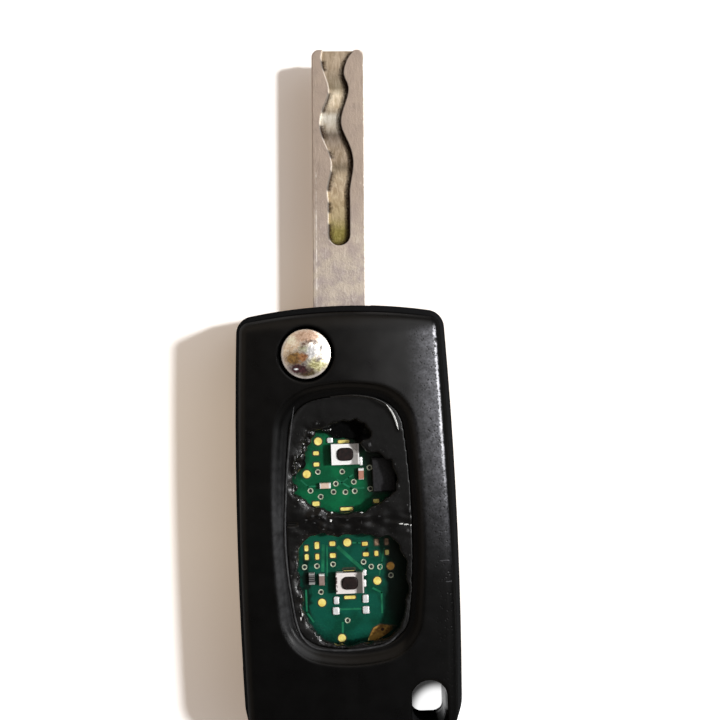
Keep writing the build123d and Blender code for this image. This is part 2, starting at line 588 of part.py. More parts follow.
def groove_ramp(high):
    """Wedge of steel that lifts the track's floor nearly to the face at the tip."""
    start = BLADE_TIP - GROOVE_ENTRY_LENGTH
    low = high - GROOVE_DEPTH
    beyond = BLADE_TIP + 2
    rise = (GROOVE_DEPTH - GROOVE_ENTRY_DEPTH) / GROOVE_ENTRY_LENGTH
    end = low + rise * (beyond - start)
    side = Polyline((start, low), (beyond, end), (beyond, low - 1), (start, low - 1), close=True)
    return Pos(BLADE_OFFSET - FAR / 2, 0, 0) * extrude(make_face(Plane.YZ * side), FAR)


def key_blade():
    """Flat blade with its track milled in both faces, one the other turned over."""
    high = BLADE_UNDERSIDE + BLADE_THICKNESS
    middle = BLADE_UNDERSIDE + BLADE_THICKNESS / 2
    blade = prism(blade_plan(), BLADE_UNDERSIDE, high)
    long_edges = [e for e in blade.edges()
                  if abs(e.center().Z - middle) > 0.4 * BLADE_THICKNESS and e.center().Y > BLADE_SHOULDER + 1]
    blade = chamfer(long_edges, BLADE_EDGE_CHAMFER)
    groove = prism(groove_plan(), high - GROOVE_DEPTH, high + 1) - groove_ramp(high)
    blade -= groove
    blade -= Pos(BLADE_OFFSET, 0, middle) * Rot(0, 180, 0) * Pos(-BLADE_OFFSET, 0, -middle) * groove
    blade -= Pos(*roll_pin_place()) * prism(Circle(ROLL_PIN_RADIUS), 0, CASE_DEPTH)
    return at_pivot(blade, -OPEN_LEAN)


def hub_roll_pin():
    low = SLOT_LOW + HUB_PLAY
    high = SLOT_HIGH - HUB_PLAY
    pin = prism(Circle(ROLL_PIN_RADIUS) - Circle(ROLL_PIN_BORE), low, high)
    return at_pivot(Pos(*roll_pin_place()) * pin, -OPEN_LEAN)


def flange_heights():
    high = SKIN_UNDERSIDE - 2 * HUB_PLAY
    return high - BUTTON_FLANGE_THICKNESS, high


def release_button():
    """Domed button on a flange that keeps it in, with a post down the middle of the spring."""
    flange_low, flange_high = flange_heights()
    hub_floor = BACK_THICKNESS + 0.1 + HUB_FLOOR
    rim = CASE_DEPTH + BUTTON_PROUD
    sphere_radius = (BUTTON_RADIUS ** 2 + BUTTON_DOME_HEIGHT ** 2) / (2 * BUTTON_DOME_HEIGHT)
    button = prism(Circle(BUTTON_RADIUS), flange_low, rim + BUTTON_DOME_HEIGHT)
    button &= Pos(0, 0, rim + BUTTON_DOME_HEIGHT - sphere_radius) * Sphere(sphere_radius)
    button += prism(Circle(BARREL_BORE - BUTTON_FLANGE_CLEARANCE), flange_low, flange_high)
    button += prism(Circle(BUTTON_POST_RADIUS), hub_floor + BUTTON_TRAVEL + HUB_PLAY, flange_low)
    return at_pivot(button)


def hub_spring():
    """Coil that pushes the button up and the hub round."""
    low = BACK_THICKNESS + 0.1 + HUB_FLOOR + SPRING_WIRE / 2
    high = flange_heights()[0] - SPRING_WIRE / 2
    radius = (BARREL_BORE + BUTTON_POST_RADIUS) / 2
    path = Helix(pitch=(high - low) / SPRING_TURNS, height=high - low, radius=radius)
    section = Plane(origin=path @ 0, z_dir=path % 0) * Circle(SPRING_WIRE / 2)
    return at_pivot(Pos(0, 0, low) * sweep(section, path=path, is_frenet=True))


def coin_cell():
    high = FRAME_TOP - CONTACT_SHEET - CONTACT_GAP
    low = high - CELL_THICKNESS
    cell = prism(Circle(CELL_RADIUS), low, high - CELL_STEP)
    cell = fillet(cell.faces().sort_by(Axis.Z)[0].edges(), CELL_EDGE_RADIUS)
    cell += prism(Circle(CELL_RADIUS - CELL_STEP_WIDTH), high - CELL_STEP, high)
    return Pos(CELL_X, CELL_Y) * cell


def cell_contact():
    """Sprung tongue between the board and the cell's small face."""
    plate = prism(Rectangle(CONTACT_LENGTH, CONTACT_WIDTH), FRAME_TOP - CONTACT_SHEET, FRAME_TOP)
    return Pos(CELL_X, CELL_Y) * plate


def cell_clip():
    """Strap under the cell with a leg at each end up to the board."""
    cell_low = FRAME_TOP - CONTACT_SHEET - CONTACT_GAP - CELL_THICKNESS
    half = CELL_RADIUS + CELL_GAP
    strap = prism(Rectangle(CLIP_WIDTH, 2 * (half + CONTACT_SHEET)), cell_low - CONTACT_SHEET, cell_low)
    for side in (-1, 1):
        leg = Rectangle(CLIP_WIDTH, CONTACT_SHEET)
        strap += Pos(0, side * (half + CONTACT_SHEET / 2)) * prism(leg, cell_low, FRAME_TOP)
    return Pos(CELL_X, CELL_Y) * strap


def aerial_core():
    """Ferrite bobbin of the transponder aerial."""
    low = FRAME_TOP - AERIAL_DEPTH
    core = prism(Rectangle(AERIAL_LENGTH, AERIAL_DEPTH), low, FRAME_TOP)
    neck = prism(Rectangle(AERIAL_LENGTH - 2 * AERIAL_FLANGE, FAR), low, FRAME_TOP)
    return Pos(AERIAL_X, AERIAL_Y) * (core - (neck - aerial_neck()))


def aerial_neck():
    """The thinner middle of the bobbin, which the wire is wound on."""
    low = FRAME_TOP - AERIAL_DEPTH + AERIAL_CORE_EDGE
    section = Rectangle(AERIAL_LENGTH - 2 * AERIAL_FLANGE, AERIAL_DEPTH - 2 * AERIAL_CORE_EDGE)
    return prism(section, low, FRAME_TOP - AERIAL_CORE_EDGE)


def aerial_winding():
    low = FRAME_TOP - AERIAL_DEPTH + WINDING_INSET
    section = Rectangle(AERIAL_LENGTH - 2 * AERIAL_FLANGE, AERIAL_DEPTH - 2 * WINDING_INSET)
    wire = prism(section, low, FRAME_TOP - WINDING_INSET)
    wire = fillet(wire.edges().filter_by(Axis.X), WINDING_CORNER)
    return Pos(AERIAL_X, AERIAL_Y) * (wire - aerial_neck())


def crystal():
    can = prism(Rectangle(CRYSTAL_LENGTH, CRYSTAL_WIDTH), FRAME_TOP - CRYSTAL_HEIGHT, FRAME_TOP)
    can = fillet(can.edges().filter_by(Axis.Z), CRYSTAL_CORNER)
    y = WINDOW_BOTTOM + CRYSTAL_ABOVE_WINDOW + CRYSTAL_WIDTH / 2
    return Pos(CASE_WIDTH / 2 - CRYSTAL_FROM_SIDE, y) * can


def switch_parts():
    makers = {"base": switch_base, "dome": switch_dome, "cover": switch_cover, "plunger": switch_plunger}
    parts = {}
    for name, y in (("upper", UPPER_SWITCH_Y), ("lower", LOWER_SWITCH_Y)):
        for piece, make in makers.items():
            parts[f"{name}_switch_{piece}"] = Pos(SWITCH_X, y) * make()
    return parts


def all_parts():
    parts = {
        "front_cover": front_cover(),
        "back_case": back_case(),
        "inner_frame": inner_frame(),
        "button_pad": button_pad(),
        "circuit_board": circuit_board(),
        "gold_lands": gold_lands(),
        "solder_lumps": solder_lumps(),
        "chip_capacitors": chip_capacitors(),
        "chip_resistors": chip_resistors(),
        "control_chip": control_chip(),
        "flip_hub": flip_hub(),
        "key_blade": key_blade(),
        "hub_roll_pin": hub_roll_pin(),
        "release_button": release_button(),
        "hub_spring": hub_spring(),
        "coin_cell": coin_cell(),
        "cell_contact": cell_contact(),
        "cell_clip": cell_clip(),
        "aerial_core": aerial_core(),
        "aerial_winding": aerial_winding(),
        "crystal": crystal(),
    }
    parts.update(switch_parts())
    return parts


os.makedirs("parts", exist_ok=True)
for node, shape in all_parts().items():
    solids = [s for item in (shape if isinstance(shape, list) else [shape]) for s in item.solids()]
    export_step(solids[0] if len(solids) == 1 else Compound(children=solids), f"parts/{node}.step")
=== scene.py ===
import bmesh
import bpy
import math
from mathutils import Matrix, Vector, noise
from mathutils.bvhtree import BVHTree


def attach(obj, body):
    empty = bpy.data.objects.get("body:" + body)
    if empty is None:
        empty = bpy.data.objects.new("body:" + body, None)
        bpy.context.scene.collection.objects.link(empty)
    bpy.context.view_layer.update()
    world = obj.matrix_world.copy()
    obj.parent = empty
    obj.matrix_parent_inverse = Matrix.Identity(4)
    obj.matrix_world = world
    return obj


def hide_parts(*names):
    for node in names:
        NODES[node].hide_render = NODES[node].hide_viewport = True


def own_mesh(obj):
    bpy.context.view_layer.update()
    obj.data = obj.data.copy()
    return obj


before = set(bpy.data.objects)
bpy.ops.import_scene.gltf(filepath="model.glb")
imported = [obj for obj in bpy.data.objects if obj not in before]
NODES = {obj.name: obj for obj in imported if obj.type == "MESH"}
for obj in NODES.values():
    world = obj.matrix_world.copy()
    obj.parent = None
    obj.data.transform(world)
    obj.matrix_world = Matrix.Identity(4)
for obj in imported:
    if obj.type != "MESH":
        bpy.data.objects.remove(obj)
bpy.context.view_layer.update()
MM = 0.001

# Without a seed the noise vectors start from the clock, and the torn edges differ from run to run
noise.seed_set(1)

# Heights and places in millimetres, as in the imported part
BOARD_SURFACE = 10.3
LAND_TOP = 10.36
PAD_SURFACE = 13.6
PIVOT = (-5.24, 28.45)
OPEN_LEAN = 1.72


# Materials

def linear(code):
    """An sRGB hex colour as linear RGBA."""
    channels = [int(code[i:i + 2], 16) / 255 for i in (1, 3, 5)]
    return [c / 12.92 if c <= 0.04045 else ((c + 0.055) / 1.055) ** 2.4 for c in channels] + [1.0]


def add(tree, kind, inputs=None, stops=None, **settings):
    """Adds a node: settings are its properties, inputs a value, colour or output for each socket."""
    made = tree.nodes.new("ShaderNode" + kind)
    for name, value in settings.items():
        setattr(made, name, value)
    if stops:
        ramp = made.color_ramp
        while len(ramp.elements) < len(stops):
            ramp.elements.new(1.0)
        for element, (place, colour) in zip(ramp.elements, stops):
            element.position = place
            element.color = linear(colour)
    for name, value in (inputs or {}).items():
        socket = made.inputs[name]
        if isinstance(value, bpy.types.NodeSocket):
            tree.links.new(value, socket)
        elif isinstance(value, str):
            socket.default_value = linear(value)
        else:
            socket.default_value = value
    return made


def new_material(name, **constants):
    """A material with its shader and its Object coordinates in millimetres."""
    material = bpy.data.materials.new(name)
    material.use_nodes = True
    tree = material.node_tree
    shader = tree.nodes["Principled BSDF"]
    for socket, value in constants.items():
        shader.inputs[socket.replace("_", " ")].default_value = linear(value) if isinstance(value, str) else value
    place = add(tree, "TexCoord").outputs["Object"]
    mm = add(tree, "Mapping", {"Vector": place, "Scale": (1000, 1000, 1000)}).outputs["Vector"]
    return material, tree, shader, mm


def dress(names, material):
    for name in names.split():
        mesh = NODES[name].data
        mesh.materials.clear()
        mesh.materials.append(material)


def box_mask(tree, mm, low, high, soft):
    """1 inside a box of millimetres, falling to 0 over a soft edge outside it."""
    parts = add(tree, "SeparateXYZ", {0: mm})
    total = None
    for axis in range(3):
        if low[axis] is None:
            continue
        rise = add(tree, "MapRange", {0: parts.outputs[axis], 1: low[axis] - soft, 2: low[axis]})
        fall = add(tree, "MapRange", {0: parts.outputs[axis], 1: high[axis], 2: high[axis] + soft, 3: 1.0, 4: 0.0})
        both = add(tree, "Math", {0: rise.outputs[0], 1: fall.outputs[0]}, operation="MULTIPLY").outputs[0]
        total = both if total is None else add(tree, "Math", {0: total, 1: both}, operation="MULTIPLY").outputs[0]
    return total


def blot(tree, place, centre, size, soft=0.45):
    """1 inside an ellipse of millimetres, fading to 0 over a soft rim."""
    off = add(tree, "VectorMath", {0: place, 1: centre + (0,)}, operation="SUBTRACT").outputs[0]
    scaled = add(tree, "VectorMath", {0: off, 1: (1 / size[0], 1 / size[1], 0)}, operation="MULTIPLY").outputs[0]
    reach = add(tree, "VectorMath", {0: scaled}, operation="LENGTH").outputs["Value"]
    return add(tree, "MapRange", {0: reach, 1: 1.0 + soft, 2: 1.0 - soft}).outputs[0]


def black_shell():
    """ABS with a fine spark-eroded grain: near black, worn grey and pitted along the ridge by the thumb, with painted
    sheen near the ridge, a painted highlight along it, painted sheen on the sides and a painted highlight on the
    recess's left slope.
    """
    material, tree, shader, mm = new_material("black_abs_worn", IOR=1.5)
    parts = add(tree, "SeparateXYZ", {0: mm})
    x, y, z = parts.outputs[0], parts.outputs[1], parts.outputs[2]
    cloud = add(tree, "TexNoise", {"Vector": mm, "Scale": 0.35, "Detail": 3.0}).outputs["Fac"]
    grain = add(tree, "TexNoise", {"Vector": mm, "Scale": 5.0, "Detail": 2.0}).outputs["Fac"]
    mottle = add(tree, "TexNoise", {"Vector": mm, "Scale": 0.7, "Detail": 4.0, "Roughness": 0.6}).outputs["Fac"]
    crumbly = add(tree, "TexNoise", {"Vector": mm, "Scale": 2.4, "Detail": 3.0, "Roughness": 0.7}).outputs["Fac"]
    pits = add(tree, "TexVoronoi", {"Vector": mm, "Scale": 1.7, "Randomness": 1.0}).outputs["Distance"]
    # Soft normals, which round the edges for the eye
    soft_normal = add(tree, "Bevel", {"Radius": 0.0008}, samples=8).outputs[0]
    facing = add(tree, "VectorTransform", {0: soft_normal}, vector_type="NORMAL", convert_from="WORLD",
                 convert_to="OBJECT").outputs[0]
    facing = add(tree, "SeparateXYZ", {0: facing})
    to_right, to_top, up = facing.outputs[0], facing.outputs[1], facing.outputs[2]
    # Millimetres to the left of the ridge that runs down the front's right side
    ridge = add(tree, "Math", {0: y, 1: -0.0346, 2: 16.12}, operation="MULTIPLY_ADD").outputs[0]
    inside = add(tree, "Math", {0: ridge, 1: x}, operation="SUBTRACT").outputs[0]
    off_flank = add(tree, "MapRange", {0: inside, 1: -0.2, 2: 0.08}).outputs[0]
    below_top = add(tree, "MapRange", {0: y, 1: 32.7, 2: 30.9}, interpolation_type="SMOOTHSTEP").outputs[0]
    face = add(tree, "Math", {0: off_flank, 1: below_top}, operation="MULTIPLY").outputs[0]
    # Near the ridge and high up, the face turns grey: wear and painted sheen together, fading downwards
    near = add(tree, "MapRange", {0: inside, 1: 5.2, 2: 0.1}).outputs[0]
    near = add(tree, "Math", {0: near, 1: 1.6}, operation="POWER").outputs[0]
    near = add(tree, "Math", {0: near, 1: face}, operation="MULTIPLY").outputs[0]
    upper = add(tree, "MapRange", {0: y, 1: -10.0, 2: 21.0}, interpolation_type="SMOOTHSTEP").outputs[0]
    rubbed_and_sheen = add(tree, "Math", {0: near, 1: upper}, operation="MULTIPLY").outputs[0]
    uneven = add(tree, "MapRange", {0: mottle, 1: 0.32, 2: 0.68, 3: 0.5, 4: 1.25}).outputs[0]
    grains = add(tree, "MapRange", {0: crumbly, 1: 0.36, 2: 0.64, 3: 0.45, 4: 1.45}).outputs[0]
    rubbed_and_sheen = add(tree, "Math", {0: rubbed_and_sheen, 1: uneven}, operation="MULTIPLY").outputs[0]
    rubbed_and_sheen = add(tree, "Math", {0: rubbed_and_sheen, 1: grains}, operation="MULTIPLY").outputs[0]
    hole = add(tree, "MapRange", {0: pits, 1: 0.12, 2: 0.3}).outputs[0]
    for centre, size in (((15.03, 30.0), 0.3), ((14.89, 28.97), 0.22)):
        deep = blot(tree, mm, centre, (size, size), 0.3)
        hole = add(tree, "Math", {0: hole, 1: deep}, operation="SUBTRACT", use_clamp=True).outputs[0]
    rubbed_and_sheen = add(tree, "Math", {0: rubbed_and_sheen, 1: hole}, operation="MULTIPLY", use_clamp=True).outputs[0]
    # The ridge itself carries a pale ragged line, partly wear and partly a painted highlight, which fades out half way
    # down
    ridge_highlight_and_wear = add(tree, "Math", {0: inside, 1: 0.12}, operation="SUBTRACT").outputs[0]
    ridge_highlight_and_wear = add(tree, "Math", {0: ridge_highlight_and_wear}, operation="ABSOLUTE").outputs[0]
    wander = add(tree, "MapRange", {0: crumbly, 1: 0.36, 2: 0.64, 3: -0.12, 4: 0.16}).outputs[0]
    ridge_highlight_and_wear = add(tree, "Math", {0: ridge_highlight_and_wear, 1: wander}, operation="SUBTRACT").outputs[0]
    ridge_highlight_and_wear = add(tree, "MapRange", {0: ridge_highlight_and_wear, 1: 0.24, 2: 0.08}).outputs[0]
    high = add(tree, "MapRange", {0: y, 1: 2.0, 2: 18.0}, interpolation_type="SMOOTHSTEP").outputs[0]
    ridge_highlight_and_wear = add(tree, "Math", {0: ridge_highlight_and_wear, 1: high}, operation="MULTIPLY").outputs[0]
    ridge_highlight_and_wear = add(tree, "Math", {0: ridge_highlight_and_wear, 1: face}, operation="MULTIPLY").outputs[0]
    ridge_highlight_and_wear = add(tree, "Math", {0: ridge_highlight_and_wear, 1: uneven}, operation="MULTIPLY", use_clamp=True).outputs[0]
    ridge_highlight_and_wear = add(tree, "Math", {0: ridge_highlight_and_wear, 1: hole}, operation="MULTIPLY").outputs[0]
    colour = add(tree, "Mix", {0: cloud, 6: "#050505", 7: "#0a0a0a"}, data_type="RGBA").outputs[2]
    colour = add(tree, "Mix", {0: rubbed_and_sheen, 6: colour, 7: "#67676c"}, data_type="RGBA").outputs[2]
    colour = add(tree, "Mix", {0: ridge_highlight_and_wear, 6: colour, 7: "#e2e2e8"}, data_type="RGBA").outputs[2]
    # The sides are matt, their lighter grey a painted sheen, and a painted highlight greys the recess's left slope
    # where it faces right
    steep = add(tree, "MapRange", {0: up, 1: 0.7, 2: 0.3}).outputs[0]
    low_down = add(tree, "MapRange", {0: z, 1: 13.4, 2: 12.4}).outputs[0]
    side = add(tree, "Math", {0: steep, 1: low_down}, operation="MULTIPLY").outputs[0]
    side_sheen_tone = add(tree, "Mix", {0: crumbly, 6: "#121212", 7: "#222223"}, data_type="RGBA").outputs[2]
    colour = add(tree, "Mix", {0: side, 6: colour, 7: side_sheen_tone}, data_type="RGBA").outputs[2]
    lit_shoulder = box_mask(tree, mm, (-13.5, -14.0, 12.9), (-7.5, 25.0, 15.6), 1.0)
    sloping = add(tree, "MapRange", {0: to_right, 1: 0.1, 2: 0.3}).outputs[0]
    lit_shoulder = add(tree, "Math", {0: lit_shoulder, 1: sloping}, operation="MULTIPLY").outputs[0]
    fading = add(tree, "MapRange", {0: y, 1: 19.0, 2: 1.0}, interpolation_type="SMOOTHSTEP").outputs[0]
    lit_shoulder = add(tree, "Math", {0: lit_shoulder, 1: fading}, operation="MULTIPLY").outputs[0]
    shoulder_patchiness = add(tree, "MapRange", {0: mottle, 1: 0.35, 2: 0.65, 3: 0.4, 4: 1.0}).outputs[0]
    lit_shoulder = add(tree, "Math", {0: lit_shoulder, 1: shoulder_patchiness}, operation="MULTIPLY").outputs[0]
    colour = add(tree, "Mix", {0: lit_shoulder, 6: colour, 7: "#323233"}, data_type="RGBA").outputs[2]
    # Three short scratches on the right side, below the middle
    for low, high in (((14.5, -4.6), (15.9, -4.55)), ((15.3, -7.95), (16.2, -7.9)), ((9.0, -5.2), (9.6, -5.15))):
        scratch = box_mask(tree, mm, low + (None,), high + (None,), 0.07)
        colour = add(tree, "Mix", {0: scratch, 6: colour, 7: "#434345"}, data_type="RGBA").outputs[2]
    tree.links.new(colour, shader.inputs["Base Color"])
    rough = add(tree, "MapRange", {0: cloud, 1: 0.3, 2: 0.7, 3: 0.27, 4: 0.33}).outputs[0]
    rough = add(tree, "Math", {0: rubbed_and_sheen, 1: 0.12, 2: rough}, operation="MULTIPLY_ADD").outputs[0]
    tree.links.new(rough, shader.inputs["Roughness"])
    # Hands have polished the upper right of the face; slopes and walls have kept their dull grain
    level = add(tree, "MapRange", {0: up, 1: 0.92, 2: 0.985}).outputs[0]
    outside = add(tree, "MapRange", {0: z, 1: 13.66, 2: 13.85}).outputs[0]
    across = add(tree, "MapRange", {0: x, 1: -3.0, 2: 9.0}, interpolation_type="SMOOTHSTEP").outputs[0]
    along = add(tree, "MapRange", {0: y, 1: -9.0, 2: 13.0}, interpolation_type="SMOOTHSTEP").outputs[0]
    polished = add(tree, "Math", {0: across, 1: along}, operation="MULTIPLY").outputs[0]
    polished = add(tree, "Math", {0: polished, 1: level}, operation="MULTIPLY").outputs[0]
    polished = add(tree, "Math", {0: polished, 1: outside}, operation="MULTIPLY").outputs[0]
    polished = add(tree, "Math", {0: polished, 1: below_top}, operation="MULTIPLY").outputs[0]
    towards_top = add(tree, "MapRange", {0: y, 1: -28.0, 2: 30.0, 3: 0.1, 4: 0.24}).outputs[0]
    sheen = add(tree, "Math", {0: polished, 1: 0.18, 2: towards_top}, operation="MULTIPLY_ADD").outputs[0]
    from_right = add(tree, "MapRange", {0: to_right, 1: 0.03, 2: 0.3, 3: 1.0, 4: 0.25}).outputs[0]
    sheen = add(tree, "Math", {0: sheen, 1: from_right}, operation="MULTIPLY").outputs[0]
    slope = add(tree, "MapRange", {0: up, 1: 0.4, 2: 0.97}).outputs[0]
    sheen = add(tree, "Math", {0: sheen, 1: slope}, operation="MULTIPLY").outputs[0]
    sunk = add(tree, "MapRange", {0: outside, 3: 0.55, 4: 1.0}).outputs[0]
    sheen = add(tree, "Math", {0: sheen, 1: sunk}, operation="MULTIPLY").outputs[0]
    low_slope = box_mask(tree, mm, (-9.0, -22.0, 13.0), (8.0, -13.0, 15.5), 1.5)
    facing_top = add(tree, "MapRange", {0: to_top, 1: 0.1, 2: 0.5, 4: 0.22}).outputs[0]
    low_slope = add(tree, "Math", {0: low_slope, 1: facing_top}, operation="MULTIPLY").outputs[0]
    sheen = add(tree, "Math", {0: sheen, 1: low_slope}, operation="MAXIMUM").outputs[0]
    # The key ring has polished the walls of its hole, most of all low down
    to_far_end = add(tree, "MapRange", {0: to_top, 1: 0.6, 2: 0.9}).outputs[0]
    in_hole = box_mask(tree, mm, (9.0, -31.3, None), (15.2, -22.0, 14.2), 0.05)
    to_left = add(tree, "MapRange", {0: to_right, 1: -0.3, 2: -0.8}).outputs[0]
    right_wall = add(tree, "MapRange", {0: z, 1: 14.0, 2: 0.5, 3: 0.02, 4: 0.4}).outputs[0]
    right_wall = add(tree, "Math", {0: right_wall, 1: to_left}, operation="MULTIPLY").outputs[0]
    low_wall = add(tree, "MapRange", {0: z, 1: 4.5, 2: 0.0, 4: 0.5}).outputs[0]
    low_wall = add(tree, "Math", {0: low_wall, 1: to_far_end}, operation="MULTIPLY").outputs[0]
    hole_walls = add(tree, "Math", {0: right_wall, 1: low_wall}, operation="MAXIMUM").outputs[0]
    hole_walls = add(tree, "Math", {0: hole_walls, 1: in_hole}, operation="MULTIPLY").outputs[0]
    sheen = add(tree, "Math", {0: sheen, 1: hole_walls}, operation="MAXIMUM").outputs[0]
    tree.links.new(sheen, shader.inputs["Specular IOR Level"])
    dents = add(tree, "Math", {0: hole, 1: near}, operation="MULTIPLY").outputs[0]
    height = add(tree, "Math", {0: grain, 1: 0.10, 2: dents}, operation="MULTIPLY_ADD").outputs[0]
    bump = add(tree, "Bump", {"Strength": 0.3, "Distance": 0.0001, "Height": height, "Normal": soft_normal})
    tree.links.new(bump.outputs[0], shader.inputs["Normal"])
    return material


def torn_rubber():
    """Silicone rubber: near black and smooth where moulded, wet-looking where it was torn, with pale specks there that
    are painted glints.
    """
    material, tree, shader, mm = new_material("torn_silicone_rubber", IOR=1.43)
    cloud = add(tree, "TexNoise", {"Vector": mm, "Scale": 0.6, "Detail": 3.0}).outputs["Fac"]
    torn = add(tree, "Attribute", attribute_name="torn").outputs["Fac"]
    gloss = add(tree, "Attribute", attribute_name="gloss").outputs["Fac"]
    dull = add(tree, "Attribute", attribute_name="dull").outputs["Fac"]
    # Painted glints: pale specks on the torn rubber
    pale_glint = add(tree, "TexNoise", {"Vector": mm, "Scale": 2.3, "Detail": 3.0, "Roughness": 0.6}).outputs["Fac"]
    pale_glint = add(tree, "MapRange", {0: pale_glint, 1: 0.66, 2: 0.72}).outputs[0]
    pale_glint = add(tree, "Math", {0: pale_glint, 1: torn}, operation="MULTIPLY").outputs[0]
    colour = add(tree, "Mix", {0: cloud, 6: "#060606", 7: "#0e0e0e"}, data_type="RGBA").outputs[2]
    colour = add(tree, "Mix", {0: pale_glint, 6: colour, 7: "#a5a5a3"}, data_type="RGBA").outputs[2]
    tree.links.new(colour, shader.inputs["Base Color"])
    wet = add(tree, "Math", {0: torn, 1: gloss}, operation="MAXIMUM").outputs[0]
    rough = add(tree, "MapRange", {0: wet, 3: 0.42, 4: 0.2}).outputs[0]
    tree.links.new(rough, shader.inputs["Roughness"])
    # The pad's border shines least, and so does the sunk part, a dark sheet standing in for shade
    sheen = add(tree, "MapRange", {0: wet, 3: 0.2, 4: 0.3}).outputs[0]
    bright = add(tree, "MapRange", {0: dull, 3: 1.0, 4: 0.04}).outputs[0]
    sheen = add(tree, "Math", {0: sheen, 1: bright}, operation="MULTIPLY").outputs[0]
    tree.links.new(sheen, shader.inputs["Specular IOR Level"])
    fine = add(tree, "TexNoise", {"Vector": mm, "Scale": 1.4, "Detail": 4.0, "Roughness": 0.55}).outputs["Fac"]
    strength = add(tree, "MapRange", {0: torn, 3: 0.05, 4: 0.55}).outputs[0]
    bump = add(tree, "Bump", {"Strength": strength, "Distance": 0.0003, "Height": fine})
    tree.links.new(bump.outputs[0], shader.inputs["Normal"])
    return material


def green_board():
    """Glass-fibre board under a glossy green solder mask: brighter above the bridge, bluer and darker below."""
    material, tree, shader, mm = new_material("green_solder_mask", IOR=1.5, Roughness=0.3, Specular_IOR_Level=0.3)
    patch = add(tree, "TexNoise", {"Vector": mm, "Scale": 0.3, "Detail": 2.0}).outputs["Fac"]
    weave = add(tree, "TexNoise", {"Vector": mm, "Scale": 3.5, "Detail": 2.0}).outputs["Fac"]
    parts = add(tree, "SeparateXYZ", {0: mm})
    above = add(tree, "MapRange", {0: parts.outputs[1], 1: -2.0, 2: 4.0}).outputs[0]
    spread = add(tree, "MapRange", {0: patch, 1: 0.42, 2: 0.58}).outputs[0]
    lower = add(tree, "Mix", {0: spread, 6: "#023628", 7: "#064537"}, data_type="RGBA").outputs[2]
    upper = add(tree, "Mix", {0: spread, 6: "#04452a", 7: "#075a36"}, data_type="RGBA").outputs[2]
    colour = add(tree, "Mix", {0: above, 6: lower, 7: upper}, data_type="RGBA").outputs[2]
    colour = add(tree, "Mix", {0: add(tree, "MapRange", {0: weave, 1: 0.52, 2: 0.75, 4: 0.2}).outputs[0], 6: colour, 7: "#1d6a4b"}, data_type="RGBA").outputs[2]
    # Painted shade darkens the corners under the torn rubber and the shaded parts of the windows, with some grime among
    # it
    shade = add(tree, "AmbientOcclusion", {"Distance": 0.003}, samples=8).outputs["AO"]
    ragged = add(tree, "Math", {0: weave, 1: 0.5, 2: -0.25}, operation="MULTIPLY_ADD").outputs[0]
    shade = add(tree, "Math", {0: shade, 1: ragged}, operation="ADD").outputs[0]
    grime_and_shade = add(tree, "MapRange", {0: shade, 1: 0.75, 2: 0.35, 4: 0.85}).outputs[0]
    blotch = add(tree, "TexNoise", {"Vector": mm, "Scale": 0.9, "Detail": 4.0, "Roughness": 0.6}).outputs["Color"]
    away = add(tree, "VectorMath", {0: blotch, 1: (0.5, 0.5, 0.5)}, operation="SUBTRACT").outputs[0]
    away = add(tree, "VectorMath", {0: away, "Scale": 2.0}, operation="SCALE").outputs[0]
    warped = add(tree, "VectorMath", {0: mm, 1: away}, operation="ADD").outputs[0]
    for centre, size in (((-7.4, 12.4), (1.5, 4.0)), ((4.8, 9.8), (2.1, 5.0)), ((3.4, 13.9), (2.2, 1.5)),
                         ((8.0, -8.5), (2.2, 8.5)), ((3.0, -3.6), (0.3, 0.6)), ((-6.9, -9.0), (0.8, 6.0))):
        patch = blot(tree, warped, centre, size, 0.3)
        patch = add(tree, "Math", {0: patch, 1: 0.94}, operation="MULTIPLY").outputs[0]
        grime_and_shade = add(tree, "Math", {0: grime_and_shade, 1: patch}, operation="MAXIMUM").outputs[0]
    colour = add(tree, "Mix", {0: grime_and_shade, 6: colour, 7: "#03100c"}, data_type="RGBA").outputs[2]
    tree.links.new(colour, shader.inputs["Base Color"])
    bump = add(tree, "Bump", {"Strength": 0.2, "Distance": 0.00005, "Height": weave})
    tree.links.new(bump.outputs[0], shader.inputs["Normal"])
    return material


def speckled(name, dark, pale, scale, **constants):
    """A plain finish whose colour drifts between two tones, with a little unevenness in its surface."""
    material, tree, shader, mm = new_material(name, **constants)
    drift = add(tree, "TexNoise", {"Vector": mm, "Scale": scale, "Detail": 3.0}).outputs["Fac"]
    spread = add(tree, "MapRange", {0: drift, 1: 0.35, 2: 0.65}).outputs[0]
    tree.links.new(add(tree, "Mix", {0: spread, 6: dark, 7: pale}, data_type="RGBA").outputs[2], shader.inputs["Base Color"])
    bump = add(tree, "Bump", {"Strength": 0.25, "Distance": 0.00004, "Height": drift})
    tree.links.new(bump.outputs[0], shader.inputs["Normal"])
    return material


# Tones of the track's floor from the blade's tip to the track's end, and where its left wall is dark with grime
TRACK_TONES = [(0.0, "#ae9f8b"), (0.08, "#ab9c88"), (0.13, "#9c907f"), (0.19, "#8a7f6b"), (0.23, "#dccfb8"), (0.28, "#d8cab3"),
               (0.31, "#a59987"), (0.34, "#c6c2b8"), (0.39, "#b3aa9c"), (0.43, "#70655a"), (0.47, "#8f8274"), (0.52, "#a39481"),
               (0.56, "#9e8f7d"), (0.6, "#7b6f5e"), (0.64, "#b8a992"), (0.71, "#b8a78f"), (0.77, "#b1a083"), (0.86, "#a99a78"), (0.93, "#958a50")]
LEFT_GRIME = [(47.1, 48.4), (40.2, 43.1), (35.9, 37.7), (32.6, 33.5), (27.2, 30.1), (23.6, 25.0), (19.0, 21.4)]


